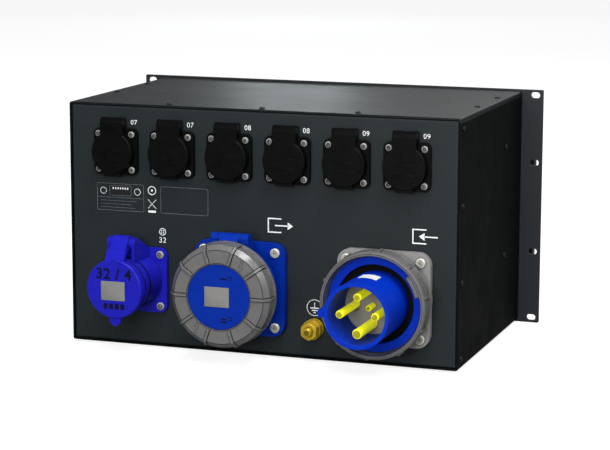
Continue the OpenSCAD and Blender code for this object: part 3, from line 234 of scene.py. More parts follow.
FINISHES = {
    "case_powder_coat": dict(
        colour=(0.0112, 0.0156, 0.0174), rough=0.5, **POWDER_COAT, specular=0.18, mottle_size=0.12, wear=0.35,
        wear_colour=(0.075, 0.09, 0.095)),
    "rack_panel_coat": dict(
        colour=(0.0115, 0.0145, 0.0175), rough=0.5, **POWDER_COAT, specular=0.24, mottle_size=0.1, wear=0.35,
        wear_colour=(0.08, 0.09, 0.095), offset=2),
    "handle_black": dict(
        colour=(0.012, 0.012, 0.013), rough=0.38, specular=0.4, grain=0.0008, grain_bump=0.2, wear=0.5,
        wear_colour=(0.16, 0.16, 0.165), wear_radius=0.001),
    "bright_screw": dict(
        colour=(0.26, 0.26, 0.25), rough=0.6, specular=0.25, grain=0.0005, grain_bump=0.25, mottle=0.12,
        mottle_size=0.004, wear=0.2, wear_colour=(0.85, 0.85, 0.83), wear_radius=0.00012, grime_and_crease_shade=0.9,
        crease=0.0016),
    "black_screw": dict(
        colour=(0.015, 0.015, 0.016), rough=0.42, metal=0.4, grain=0.0004, grain_bump=0.2, mottle=0.15,
        mottle_size=0.003, wear=0.5, wear_colour=(0.2, 0.2, 0.21), wear_radius=0.00012),
    "black_rubber": dict(
        colour=(0.003, 0.003, 0.003), rough=0.75, specular=0.07, grain=0.0007, grain_bump=0.5,
        mottle=0.12, mottle_size=0.02, wear=0.15, wear_colour=(0.03, 0.03, 0.03)),
    "black_plastic": dict(
        colour=(0.0012, 0.0013, 0.0013), rough=0.42, specular=0.075, grain=0.0006, grain_bump=0.3,
        cells=True, mottle=0.15, mottle_size=0.02, wear=0.5, wear_colour=(0.02, 0.021, 0.021)),
    "contact_brass": dict(
        colour=(0.53, 0.37, 0.02), rough=0.34, metal=0.4, grain=0.0005, grain_bump=0.1, mottle=0.08,
        mottle_size=0.006, wear=0.85, wear_colour=(0.1, 0.065, 0.006), wear_radius=0.0005, grime_and_crease_shade=0.9,
        crease=0.003),
    "violet_blue_plastic": dict(
        colour=(0.0085, 0.009, 0.34), rough=0.4, **MOULDED, specular=0.12, coat=0.05, grain_bump=0.22,
        mottle=0.06, wear=0.45, wear_colour=(0.09, 0.1, 0.85)),
    "blue_plastic": dict(
        colour=(0.0005, 0.0195, 0.25), rough=0.42, **MOULDED, specular=0.075, coat=0.03,
        grain_bump=0.22, mottle=0.06, wear=0.4, wear_colour=(0.03, 0.09, 0.6), offset=5),
    "bright_blue_plastic": dict(
        colour=(0.0005, 0.0245, 0.385), rough=0.42, **MOULDED, specular=0.06, coat=0.02,
        grain_bump=0.18, mottle=0.05, wear=0.4, wear_colour=(0.05, 0.16, 0.9)),
    "grey_plastic": dict(
        colour=(0.155, 0.152, 0.147), rough=0.36, **MOULDED, specular=0.4, grain_bump=0.3, cells=True,
        mottle=0.06, wear=0.5, wear_colour=(0.42, 0.41, 0.39)),
    "pale_screw": dict(
        colour=(0.6, 0.59, 0.53), rough=0.45, metal=0.2, grain=0.0005, grain_bump=0.2, mottle=0.08,
        mottle_size=0.004, wear=0.3, wear_colour=(0.9, 0.9, 0.84), wear_radius=0.00015, grime_and_crease_shade=0.85,
        crease=0.003),
    # painted light: the pins glow a little, to look lit deep inside the sleeve
    "pin_yellow_brass": dict(
        colour=(0.86, 0.84, 0.008), rough=0.3, metal=0.1, glow=0.34, grain=0.0005, grain_bump=0.08,
        mottle=0.03, mottle_size=0.008, wear=0.4, wear_colour=(0.98, 0.96, 0.3), wear_radius=0.0003,
        grime_and_crease_shade=0.4),
    "breaker_grey": dict(
        colour=(0.6, 0.6, 0.57), rough=0.42, specular=0.3, grain=0.0006, grain_bump=0.22, mottle=0.04,
        mottle_size=0.02, wear=0.3, wear_colour=(0.8, 0.8, 0.78), offset=9),
    "button_yellow": dict(
        colour=(0.75, 0.45, 0.02), rough=0.35, specular=0.35, grain=0.0005, grain_bump=0.18,
        mottle=0.05, mottle_size=0.004, wear=0.4, wear_colour=(0.95, 0.75, 0.2)),
    "lamp_red": dict(
        colour=(0.5, 0.014, 0.01), rough=0.12, specular=0.6, coat=0.6, grain=0.002, grain_bump=0.06,
        mottle=0.08, mottle_size=0.004, wear=0.3, wear_colour=(0.9, 0.15, 0.1)),
    "zinc_steel": dict(
        colour=(0.56, 0.57, 0.56), rough=0.38, metal=0.85, grain=0.0008, grain_bump=0.2, cells=True,
        mottle=0.16, mottle_size=0.012, wear=0.3, wear_colour=(0.8, 0.8, 0.78)),
    "cable_sheath": dict(
        colour=(0.06, 0.03, 0.018), rough=0.5, **SHEATH),
    "white_ink": dict(
        colour=(0.82, 0.83, 0.83), rough=0.6, **PRINTED, specular=0.2, grain_bump=0.25, mottle=0.06,
        wear=0.15, wear_colour=(0.6, 0.6, 0.6)),
    "faint_ink": dict(
        colour=(0.13, 0.155, 0.17), rough=0.6, **PRINTED, specular=0.2, grain_bump=0.25, mottle=0.12,
        wear=0.15),
    # print on the lids, and painted shadow: the hoops in the 32 A barrel's collar gaps
    "dark_ink_and_shade": dict(
        colour=(0.002, 0.002, 0.018), rough=0.55, **PRINTED, specular=0.12, grain_bump=0.2, mottle=0.1,
        wear=0.1),
    # painted shade: a darker copy of the case's coat on the tray, whose side faces away from the light
    "shaded_tray_coat": dict(
        colour=(0.0026, 0.0033, 0.0031), rough=0.62, **POWDER_COAT, specular=0.05, mottle_size=0.12, wear=0.5,
        wear_colour=(0.05, 0.06, 0.062)),
    # painted shade: a darker copy of the case's coat on the top cover, which takes the most light from above
    "shaded_cover_coat": dict(
        colour=(0.0045, 0.007, 0.008), rough=0.38, rough_spread=0.02, specular=0.185, grain=0.0011,
        grain_bump=0.2, cells=True, mottle=0.03, mottle_size=0.12, wear=0.35,
        wear_colour=(0.07, 0.085, 0.09)),
    "ring_grey": dict(
        colour=(0.112, 0.11, 0.109), rough=0.32, **MOULDED, specular=0.6, grain_bump=0.25, cells=True,
        mottle=0.05, wear=0.7, wear_colour=(0.4, 0.39, 0.38), wear_radius=0.0005),
    "flange_grey": dict(
        colour=(0.21, 0.208, 0.204), rough=0.34, **MOULDED, specular=0.5, grain_bump=0.3, cells=True,
        mottle=0.06, wear=0.6, wear_colour=(0.5, 0.49, 0.48), wear_radius=0.0006),
    "insert_grey": dict(
        colour=(0.21, 0.2, 0.196), rough=0.5, specular=0.2, grain=0.0007, grain_bump=0.25, mottle=0.05,
        mottle_size=0.02, wear=0.3, grime_and_crease_shade=0.5),
    # print on the rating plate, and painted shade: the lines on the rings and the screws' drive rings
    "line_ink_and_shade": dict(
        colour=(0.01, 0.0105, 0.0105), rough=0.6, specular=0.15, grain=0.0005, grain_bump=0.2,
        mottle=0.05, wear=0.1),
    "tip_olive": dict(
        colour=(0.3, 0.28, 0.008), rough=0.45, specular=0.15, grain=0.0004, grain_bump=0.2, wear=0.2,
        grime_and_crease_shade=0.0),
    "tip_brown": dict(
        colour=(0.12, 0.085, 0.006), rough=0.45, specular=0.15, grain=0.0004, grain_bump=0.2, wear=0.2,
        grime_and_crease_shade=0.0),
    "grey_ink": dict(
        colour=(0.035, 0.035, 0.034), rough=0.55, **PRINTED, specular=0.2, grain_bump=0.2, mottle=0.1,
        wear=0.1),
    "plate_grey": dict(
        colour=(0.17, 0.168, 0.162), rough=0.5, specular=0.25, grain=0.0006, grain_bump=0.3,
        mottle=0.08, mottle_size=0.01, wear=0.4, wear_colour=(0.4, 0.4, 0.38)),
    "label_white": dict(
        colour=(0.68, 0.7, 0.72), rough=0.45, specular=0.3, grain=0.0006, grain_bump=0.15, mottle=0.05,
        mottle_size=0.01, wear=0.3, wear_colour=(0.5, 0.5, 0.5)),
    "blue_cable": dict(
        colour=(0.01, 0.05, 0.32), rough=0.5, **SHEATH),
    "grey_cable": dict(
        colour=(0.16, 0.16, 0.16), rough=0.5, **SHEATH),
    "black_cable": dict(
        colour=(0.012, 0.012, 0.012), rough=0.5, **SHEATH),
}
MATERIALS = {name: surface(name, **finish) for name, finish in FINISHES.items()}
MATERIALS["earth_cable"] = striped("earth_cable", (0.05, 0.3, 0.02), (0.72, 0.62, 0.02))

# nodes whose finish isn't the one named after their CAD material
FINISH_OF = {"chassis_tray": "shaded_tray_coat", "top_cover": "shaded_cover_coat", "thru_ring": "ring_grey",
             "inlet_ring": "ring_grey", "inlet_housing": "flange_grey", "inlet_insert": "insert_grey",
             "socket_hinge_pins": "black_screw", "cee_hinge_pin": "violet_blue_plastic",
             "thru_hinge_pin": "blue_plastic"}
for name, obj in NODES.items():
    for slot in obj.material_slots:
        slot.material = MATERIALS[FINISH_OF.get(name, CAD_MATERIAL[name])]


# ---------- where things are ----------

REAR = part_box("rear_panel")[0].y
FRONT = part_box("front_panel")[1].y


def middle(node):
    low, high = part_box(node)
    return (low + high) / 2


def on_rear(x, z, out=0.0):
    """A frame on the connector panel: local X to the right, local Y up, local Z out of the panel."""
    return Matrix.Translation((x, REAR - out, z)) @ Matrix.Rotation(math.radians(90), 4, "X")


def on_front(x, z):
    """The same on the rack panel."""
    turn = Matrix.Rotation(math.radians(180), 4, "Z") @ Matrix.Rotation(math.radians(90), 4, "X")
    return Matrix.Translation((x, FRONT, z)) @ turn


def depth(node):
    """How far a node reaches out of the connector panel."""
    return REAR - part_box(node)[0].y


SOCKETS = range(1, 7)
socket_z = middle("socket_inserts").z
sockets = {i: Vector((middle(f"socket_lid_{i}").x, 0, socket_z)) for i in SOCKETS}
cee = middle("cee_screws")
thru = middle("thru_insert")
inlet = middle("inlet_insert")
stud = middle("earth_washers")
# the blank rating plate, under the first socket
plate = Vector((sockets[1].x + 3 * MM, 0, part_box("socket_frames")[0].z - 24.9 * MM))


# ---------- mesh helpers ----------

def piece(name, mesh, material, body, place=None, smooth=True):
    """Adds a mesh as a named piece that moves with a body."""
    if place is not None:
        mesh.transform(place)
    mesh.name = name
    for polygon in mesh.polygons:
        polygon.use_smooth = smooth
    if smooth:
        mesh.set_sharp_from_angle(angle=SHARP_ANGLE)
    obj = bpy.data.objects.new(name, mesh)
    SCENE.collection.objects.link(obj)
    mesh.materials.clear()
    mesh.materials.append(MATERIALS[material])
    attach(obj, body)
    return obj


def mesh_of(vertices, faces):
    mesh = bpy.data.meshes.new("mesh")
    mesh.from_pydata(vertices, [], faces)
    mesh.update()
    return mesh


def mesh_from(bm, mesh=None):
    """Writes a bmesh into a mesh, and frees it."""
    mesh = mesh or bpy.data.meshes.new("mesh")
    bm.to_mesh(mesh)
    bm.free()
    return mesh


def faced_out(mesh):
    """Turns every face outward."""
    bm = bmesh.new()
    bm.from_mesh(mesh)
    bmesh.ops.recalc_face_normals(bm, faces=bm.faces[:])
    return mesh_from(bm, mesh)


def join(meshes):
    bm = bmesh.new()
    for mesh in meshes:
        bm.from_mesh(mesh)
        bpy.data.meshes.remove(mesh)
    return mesh_from(bm)


def shifted(mesh, x, y):
    """Moves a flat mark, in millimetres."""
    mesh.transform(Matrix.Translation((x * MM, y * MM, 0)))
    return mesh


def raised(mesh, out):
    mesh.transform(Matrix.Translation((0, 0, out)))
    return mesh


def spun(mesh, angle):
    mesh.transform(Matrix.Rotation(math.radians(angle), 4, "Z"))
    return mesh


def turns_of(count):
    """Equally spaced angles round a full turn, in radians."""
    return [2 * math.pi * k / count for k in range(count)]


def rod_faces(rows, sides):
    """Faces of a rod made of rows of vertices around it, with flat ends."""
    faces = []
    for i in range(rows - 1):
        for k in range(sides):
            a, b = i * sides + k, i * sides + (k + 1) % sides
            faces.append((a, b, b + sides, a + sides))
    return faces + [tuple(reversed(range(sides))), tuple(range((rows - 1) * sides, rows * sides))]


def sweep(points, radius, sides):
    """A round bar along points, with flat ends."""
    points = [Vector(p) for p in points]
    last = len(points) - 1
    vertices = []
    normal = None
    for i, p in enumerate(points):
        along = (points[min(i + 1, last)] - points[max(i - 1, 0)]).normalized()
        if normal is None:
            normal = along.orthogonal().normalized()
        normal = (normal - along * normal.dot(along)).normalized()
        side = along.cross(normal)
        vertices += [p + (normal * math.cos(a) + side * math.sin(a)) * radius for a in turns_of(sides)]
    return mesh_of(vertices, rod_faces(len(points), sides))


def rounded(width, height, radius, steps):
    """Outline of a rounded rectangle, anticlockwise, in millimetres."""
    points = []
    for cx, cy, start in ((1, 1, 0), (-1, 1, 90), (-1, -1, 180), (1, -1, 270)):
        for i in range(steps + 1):
            a = math.radians(start + 90 * i / steps)
            points.append((cx * (width / 2 - radius) + radius * math.cos(a),
                           cy * (height / 2 - radius) + radius * math.sin(a)))
    return points


def arc(radius, stop, steps):
    """Points round a circle from 0 to stop degrees, in the radius's unit. A closed outline spans the rest."""
    turns = [math.radians(stop * i / steps) for i in range(steps + 1)]
    return [(radius * math.cos(a), radius * math.sin(a)) for a in turns]


def slab(outline, thickness=INK, edge=0.0):
    """A plate of the outline's shape on local Z = 0, its top edge rolled off by edge, in millimetres."""
    bm = bmesh.new()
    face = bm.faces.new([bm.verts.new((x * MM, y * MM, 0)) for x, y in outline])
    top = bmesh.ops.extrude_face_region(bm, geom=[face])["geom"]
    moved = [v for v in top if isinstance(v, bmesh.types.BMVert)]
    bmesh.ops.translate(bm, vec=(0, 0, thickness * MM), verts=moved)
    bmesh.ops.recalc_face_normals(bm, faces=bm.faces[:])
    if edge:
        rim = [e for e in bm.edges if all(v in moved for v in e.verts)]
        bmesh.ops.bevel(bm, geom=rim, offset=edge * MM, segments=3, profile=0.5, affect="EDGES",
                        clamp_overlap=True)
    return mesh_from(bm)


def stroke(points, width, closed=False):
    """A flat printed line through points, in millimetres, mitred at its corners."""
    points = [Vector(p) for p in points]
    count = len(points)
    sharpest_mitre = 0.35
    left, right = [], []
    for i, p in enumerate(points):
        before = points[i - 1] if i or closed else None
        after = points[(i + 1) % count] if i < count - 1 or closed else None
        d1 = (p - before).normalized() if before is not None else (after - p).normalized()
        d2 = (after - p).normalized() if after is not None else d1
        across = Vector((-d1.y, d1.x))
        n = Vector((-(d1 + d2).y, (d1 + d2).x)).normalized()
        n *= (width / 2) / max(sharpest_mitre, n.dot(across))
        left.append(p + n)
        right.append(p - n)
    vertices = [(v.x * MM, v.y * MM, z * MM) for z in (0, INK) for side in (left, right) for v in side]
    top, last = 2 * count, count - 1
    faces = []
    for i in range(count if closed else last):
        a, b = i, (i + 1) % count
        c, d = count + b, count + a
        faces += [(d + top, c + top, b + top, a + top), (a, b, c, d), (a + top, b + top, b, a),
                  (d, c, c + top, d + top)]
    if not closed:
        faces += [(top, count + top, count, 0), (last, count + last, count + last + top, last + top)]
    return faced_out(mesh_of(vertices, faces))


def ring(radius, width, stop, steps):
    return stroke(arc(radius, stop, steps), width, closed=True)


def digits(text, height, weight=0.0):
    """Plain numerals centred on the local origin, in millimetres."""
    curve = bpy.data.curves.new("digits", "FONT")
    cap_height = 0.72               # of a numeral, as a share of the font's size
    curve.body, curve.size = text, height * MM / cap_height
    curve.align_x, curve.align_y = "CENTER", "CENTER"
    curve.extrude, curve.offset, curve.space_character = INK * MM / 2, weight * MM, 1.08
    temporary = bpy.data.objects.new("digits", curve)
    SCENE.collection.objects.link(temporary)
    bpy.context.view_layer.update()
    mesh = bpy.data.meshes.new_from_object(temporary.evaluated_get(bpy.context.evaluated_depsgraph_get()))
    bpy.data.objects.remove(temporary)
    return raised(mesh, INK * MM / 2)


def strip(profile, near, far):
    """A thin band laid over a profile of (radius, distance out) points, between two offsets to the side."""
    last = len(profile) - 1
    vertices, faces = [], []
    for i, (r, out) in enumerate(profile):
        before, after = profile[max(i - 1, 0)], profile[min(i + 1, last)]
        along = Vector((after[0] - before[0], after[1] - before[1])).normalized()
        normal = Vector((-along.y, along.x)) * (1 if along.x > 0 or along.y < 0 else -1)
        vertices += [(r + normal.x * height, side, out + normal.y * height)
                     for height in (0.0, LINE_LIFT) for side in (near, far)]
    for a in range(0, 4 * last, 4):
        b = a + 4
        faces += [(a + 2, b + 2, b + 3, a + 3), (a, a + 1, b + 1, b), (a, b, b + 2, a + 2),
                  (a + 1, a + 3, b + 3, b + 1)]
    end = 4 * last
    return mesh_of(vertices, faces + [(0, 2, 3, 1), (end, end + 1, end + 3, end + 2)])


def hoop(radius, start, stop, lift, sides=72):
    """A thin band round local Z."""
    vertices, faces = [], []
    for a in turns_of(sides):
        for r, out in ((radius, start), (radius + lift, start), (radius + lift, stop), (radius, stop)):
            vertices.append((r * math.cos(a), r * math.sin(a), out))
    for k in range(sides):
        a, b = 4 * k, 4 * ((k + 1) % sides)
        faces += [(a + i, a + (i + 1) % 4, b + (i + 1) % 4, b + i) for i in range(4)]
    return mesh_of(vertices, faces)


def tip_marks(name, node, share, least, material, out=0.0):
    """A darker disc on the outward end of each rod in a node, if the disc's radius is over least."""
    bm = bmesh.new()
    bm.from_mesh(NODES[node].data)
    bm.transform(NODES[node].matrix_world)
    bmesh.ops.remove_doubles(bm, verts=bm.verts[:], dist=0.001 * MM)
    left, marks = set(bm.verts), []
    while left:
        rod, queue = [], [left.pop()]
        while queue:
            vertex = queue.pop()
            rod.append(vertex.co.copy())
            for edge in vertex.link_edges:
                other = edge.other_vert(vertex)
                if other in left:
                    left.remove(other)
                    queue.append(other)
        end = min(v.y for v in rod)
        rim = [v for v in rod if v.y < end + 0.05 * MM]
        x, z = (sum(v[axis] for v in rim) / len(rim) for axis in (0, 2))
        r = max(math.hypot(v.x - x, v.z - z) for v in rim) * share
        if r > least:
            disc = slab(arc(r / MM, 345, 24), 2 * INK, edge=0.5 * INK)
            disc.transform(on_rear(x, z, REAR - end + out))
            marks.append(disc)
    bm.free()
    return piece(name, join(marks), material, "chassis", smooth=False)


# ---------- printed marks on the connector panel ----------

def panel_print(name, meshes, origin, dx, dz, material="white_ink"):
    """Printing on the connector panel, dx to the right of an origin and dz above it, in millimetres."""
    place = on_rear(origin.x + dx * MM, origin.z + dz * MM)
    return piece(name, join(meshes), material, "chassis", place, smooth=False)


CIRCUITS = ("07", "07", "08", "08", "09", "09")
for i, number in zip(SOCKETS, CIRCUITS):
    panel_print(f"circuit_number_{i}", [digits(number, 5.3)], sockets[i], 19.6, 31.3)

# the 32 A outlet: a ring of four contacts over its rated current
contact_turns = [math.radians(a) for a in (45, 135, 225, 315)]
contacts = [shifted(slab(arc(0.75, 340, 10)), 1.7 * math.cos(a), 1.7 * math.sin(a)) for a in contact_turns]
panel_print("outlet_symbol", [ring(3.6, 0.75, 350, 34)] + contacts, cee, 28.3, 51.8)
panel_print("outlet_rating", [digits("32", 6)], cee, 28.3, 42.6)


def flow_symbol(name, origin, dx, way):
    """A box with an arrow leaving (way 1) or entering it (way -1): an output or an input."""
    line, half, centre = 1.3, 7.2, 3.5
    box = stroke([(1, half), (-13.4, half), (-13.4, -half), (1, -half)], line)
    shaft = stroke([(centre - 9.5 * way, 0), (centre + 5.5 * way, 0)], line)
    head = slab([(centre + 10.5 * way, 0), (centre + 4.5 * way, 4 * way), (centre + 4.5 * way, -4 * way)])
    panel_print(name, [box, shaft, head], origin, dx, 65.5)


flow_symbol("output_symbol", thru, 42.3, 1)
flow_symbol("input_symbol", inlet, 41.8, -1)

# protective earth sign over the stud
sign = [ring(8.45, 0.6, 354, 59), stroke([(0, 5.6), (0, 0.2)], 0.7)]
sign += [stroke([(-half, y), (half, y)], 1.05) for y, half in ((-0.4, 4.9), (-2.9, 3.1), (-5.3, 1.2))]
panel_print("earth_symbol", sign, stud, 0, 21.8)

# blank rating plates: outlined, with plain rules only
rules = [stroke(rounded(54.2, 29, 1.2, 3), 0.45, closed=True), stroke([(-27.1, -0.4), (27.1, -0.4)], 0.4),
         shifted(stroke(rounded(25, 10.5, 0.8, 3), 0.4, closed=True), 0, 7.1)]
rules += [stroke([(-23, y), (end, y)], 0.35) for y, end in ((-4, 19), (-7.6, 14), (-11.2, 17))]
spots = [shifted(ring(3.4, 0.5, 350, 24), side * 19.8, 6.6) for side in (-1, 1)]
ticks = [shifted(slab(rounded(1.5, 2, 0.2, 2)), -8.4 + 2.8 * k, 9.6) for k in range(7)]
panel_print("rating_frame", rules, plate, 0, 0, "faint_ink")
panel_print("rating_spots", spots + ticks, plate, 0, 0)
panel_print("rating_field", [slab(rounded(23.8, 4.6, 0.4, 2))], plate, 0, 4.7, "line_ink_and_shade")
panel_print("approval_ring", [ring(4.4, 0.9, 350, 34), slab(arc(1.3, 340, 16))], plate, 36.7, 9.2)
panel_print("approval_bar", [slab(rounded(9, 2.3, 0.3, 2))], plate, 36.7, -13.5)
panel_print("approval_cross", [stroke([(-4.8, 5 * s), (4.8, -5 * s)], 0.6) for s in (1, -1)],
            plate, 36.7, -5.4)
panel_print("blank_frame", [stroke(rounded(54.2, 28.5, 2, 4), 0.45, closed=True)],
            plate, 73.8, -0.2, "faint_ink")


# ---------- plates and marks on the lids and rings ----------

LIDS = {"cee_lid": (cee, "violet_blue_plastic"), "thru_lid": (thru, "blue_plastic")}


def on_lid(lid, dx, dz):
    """A frame on a lid's face, offset from its connector's axis in millimetres."""
    axis, _ = LIDS[lid]
    return on_rear(axis.x + dx * MM, axis.z + dz * MM, depth(lid))


def lid_plate(lid, height, dx, dz):
    """A blank plate on a lid."""
    mesh = slab(rounded(27, height, 0.8, 5), 0.35, edge=0.12)
    piece(f"{lid}_plate", mesh, "plate_grey", lid, on_lid(lid, dx, dz))


def lid_ink(name, lid, mesh, dz):
    piece(name, mesh, "dark_ink_and_shade", lid, on_lid(lid, 0, dz), smooth=False)


lid_plate("cee_lid", 20.5, -1, -2)
lid_ink("cee_lid_rating", "cee_lid", digits("32 / 4", 11.5, weight=0.4), 15.5)
dashes = [stroke([(k * 6.4 - 2.2, 0), (k * 6.4 + 2.2, 0)], 6) for k in (-1.5, -0.5, 0.5, 1.5)]
lid_ink("cee_lid_dashes", "cee_lid", join(dashes), -18.5)

lid_plate("thru_lid", 21, -2, 0)
for name, dz, rows in (("upper", 19.5, 1), ("lower", -22.5, 2)):
    bars = [stroke([(2.5, -3 * row), (9, -3 * row)], 1.7) for row in range(rows)]
    hook = stroke([(11, 1.5), (13, 2.5), (14.5, 0), (12, -1.5)], 1)
    lid_ink(f"thru_lid_marks_{name}", "thru_lid", join(bars + [hook]), dz)

# turning arrows on the through output's ring
ring_groove = 1.2 * MM              # the face lies this far behind the ring's ribs
ring_face = depth("thru_ring") - ring_groove
arrow = [(-1.2, -6), (-1.2, 1.6), (-2.8, 1.6), (0, 6), (2.8, 1.6), (1.2, 1.6), (1.2, -6)]
arrow_r = 42
for name, angle, turn in (("open", 54, 168), ("close", 234, -12)):
    a = math.radians(angle)
    mesh = shifted(spun(stroke(arrow, 0.4, closed=True), turn), arrow_r * math.cos(a), arrow_r * math.sin(a))
    piece(f"ring_arrow_{name}", mesh, "grey_ink", "thru_ring",
          on_rear(thru.x, thru.z, ring_face), smooth=False)

# painted shade: dark lines either side of each of its ribs, and round the edges of its face
ribs = 10
side_r = 54 * MM
ring_profile = [(36.2 * MM, ring_face), (side_r - 5 * MM, ring_face), (side_r, ring_face - 6 * MM),
                (side_r, ring_face - 19.5 * MM)]
lines = [spun(strip(ring_profile, near * MM, far * MM), 360 / ribs * k)
         for k in range(ribs) for near, far in ((1.3, 2.2), (-2.2, -1.3))]
lines += [raised(ring(radius, width, 356, 89), ring_face) for radius, width in ((35.3, 0.7), (49.1, 0.6))]
piece("ring_shade_lines", join(lines), "line_ink_and_shade", "thru_ring", on_rear(thru.x, thru.z),
      smooth=False)

# painted shade: darker discs on the pins' end faces, which the pins' glow would otherwise light like the
# shafts
tip_marks("pin_tips", "inlet_pins", 1.0, 1 * MM, "tip_olive")

# the same painted shade lines on the inlet's locking ring
low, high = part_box("inlet_ring")
rim_r = (high.x - low.x) / 2 - 1.4 * MM
rim_out = depth("inlet_ring")
lines = [hoop(rim_r, rim_out - 3.4 * MM, rim_out - 2.6 * MM, LINE_LIFT)]
lines += [raised(ring(rim_r / MM - inward, 0.45, 356, 89), rim_out) for inward in (1.5, 3.9)]
piece("inlet_shade_lines", join(lines), "line_ink_and_shade", "inlet_ring",
      on_rear(inlet.x, inlet.z), smooth=False)

# painted shadow: dark hoops in the gaps between the collars of the 32 A outlet's barrel, counted in collars
# from its rim
collar = 2.8 * MM
rim = depth("cee_lid") - 9 * MM
gaps = [hoop(29.4 * MM, rim - back * collar, rim - front * collar, lift * MM)
        for back, front, lift in ((2, 1, 1.2), (4, 3, 0.2), (7.5, 6.5, 0.2))]
piece("cee_collar_gaps", join(gaps), "dark_ink_and_shade", "chassis", on_rear(cee.x, cee.z))

# painted shade: the dark drive rings of the flange screws, their radius, line width and the screws' spacing
for name, node, radius, width, spacing, places in (
        ("socket_screw_drives", "socket_screws", 1.7, 0.7, 38, [(s.x, s.z) for s in sockets.values()]),
        ("cee_screw_drives", "cee_screws", 2.4, 0.5, 56, [(cee.x, cee.z)]),
        ("flange_screw_drives", "large_flange_screws", 3.3, 0.5, 80,
         [(thru.x, inlet.z), (inlet.x, inlet.z)])):
    drives = [shifted(ring(radius, width, 345, 23), x / MM + dx * spacing / 2, z / MM + dz * spacing / 2)
              for x, z in places for dx in (-1, 1) for dz in (-1, 1)]
    piece(name, join(drives), "line_ink_and_shade", "chassis", on_rear(0, 0, depth(node)), smooth=False)

# small pressed fields on the socket lids
lid_front = depth("socket_lid_1")
for i in SOCKETS:
    fields = [shifted(slab(rounded(width, 2.2, 0.5, 3), 0.25, edge=0.1), 0, y)
              for width, y in ((19, 2.5), (23, -7.5))]
    piece(f"socket_lid_{i}_fields", join(fields), "black_plastic", f"socket_lid_{i}",
          on_rear(sockets[i].x, socket_z, lid_front))

# curved label on top of the inlet sleeve
sleeve_r = 33.7 * MM
steps = 17
label_turns = [math.radians(87 - 17 + 34 * k / (steps - 1)) for k in range(steps)]
vertices = [(r * math.cos(a), r * math.sin(a), out * MM)
            for r in (sleeve_r + 0.02 * MM, sleeve_r + 0.14 * MM) for out in (54, 71) for a in label_turns]
outer = 2 * steps
faces = [(0, steps, steps + outer, outer), (steps - 1, steps - 1 + outer, 2 * outer - 1, outer - 1)]
for a in range(steps - 1):
    b, c, d = a + 1, steps + a + 1, steps + a
    faces += [(a, b, c, d), (a + outer, d + outer, c + outer, b + outer), (a, a + outer, b + outer, b),
              (d, c, c + outer, d + outer)]
piece("sleeve_label", faced_out(mesh_of(vertices, faces)), "label_white", "chassis",
      on_rear(inlet.x, inlet.z))


# ---------- real springs, thread and cables ----------

def helix(centre, radius, pitch, turns, per_turn=20):
    """Points of a coil about an axis along X, its middle at centre."""
    points = []
    for i in range(turns * per_turn + 1):
        a = math.radians(90) + 2 * math.pi * i / per_turn
        along = pitch * i / per_turn - pitch * turns / 2
        points.append((centre.x + along, centre.y + radius * math.cos(a), centre.z + radius * math.sin(a)))
    return points


coil = middle("socket_springs")
coils = []
for i in SOCKETS:
    for side in (-1, 1):
        centre = Vector((sockets[i].x + side * 6.2 * MM, coil.y, coil.z))
        coils.append(sweep(helix(centre, 2.2 * MM, 0.84 * MM, 3), 0.36 * MM, 8))
spring = piece("lid_springs", join(coils), "bright_screw", "chassis")
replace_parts(spring, "socket_springs")


def thread(radius, pitch, start, stop, lead):
    """A threaded rod along local Z, its crest running round as a helix, with a plain lead-in at the end."""
    sides, rows_a_turn = 40, 8
    lead_step, tip_bevel = 0.3 * MM, 1 * MM
    rows = int((stop - start) / pitch * rows_a_turn)
    vertices = []
    for j in range(rows + 1):
        z = start + (stop - start) * j / rows
        for k, a in enumerate(turns_of(sides)):
            phase = (z / pitch - k / sides) % 1.0
            r = radius - pitch / 2 * abs(phase * 2 - 1)
            if z > stop - lead:
                r = radius - lead_step - max(0.0, z - (stop - tip_bevel))
            vertices.append((r * math.cos(a), r * math.sin(a), z))
    return mesh_of(vertices, rod_faces(rows + 1, sides))


low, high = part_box("earth_stud")
mesh = thread((high.x - low.x) / 2, 1.5 * MM, REAR - high.y, depth("earth_stud"), 5.4 * MM)
rod = piece("earth_stud_thread", mesh, "contact_brass", "chassis", on_rear(stud.x, stud.z))
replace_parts(rod, "earth_stud")
tip_marks("stud_tip", "earth_stud", 0.8, 0.0, "tip_brown", 0.02 * MM)


def smooth_path(points, steps=10):
    """Catmull-Rom curve through the points."""
    points = [Vector(p) for p in points]
    padded = [points[0] * 2 - points[1]] + points + [points[-1] * 2 - points[-2]]
    path = []
    for i in range(1, len(padded) - 2):
        p0, p1, p2, p3 = padded[i - 1:i + 3]
        for t in (k / steps for k in range(steps)):
            path.append(0.5 * ((2 * p1) + (p2 - p0) * t + (2 * p0 - 5 * p1 + 4 * p2 - p3) * t * t
                               + (3 * p1 - p0 - 3 * p2 + p3) * t ** 3))
    return path + [points[-1]]


def cable(name, points, radius, material):
    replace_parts(piece(name, sweep(smooth_path(points), radius, 14), material, "chassis"),
                "internal_cables")


core_r, earth_r = 4.2 * MM, 3.4 * MM
cores = ("cable_sheath", "black_cable", "grey_cable", "blue_cable")
block_low, block_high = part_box("terminal_block")
bar_low, bar_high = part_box("earth_bar")
breakers_low, breakers_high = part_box("breaker_cases")
inlet_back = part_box("inlet_housing")[1].y
pole_pitch = (block_high.x - block_low.x) / len(cores)
module = (breakers_high.x - breakers_low.x) / 16
clamp_z = block_low.z + 16 * MM
clamps = [block_low.x + (i + 0.5) * pole_pitch for i in range(len(cores))]

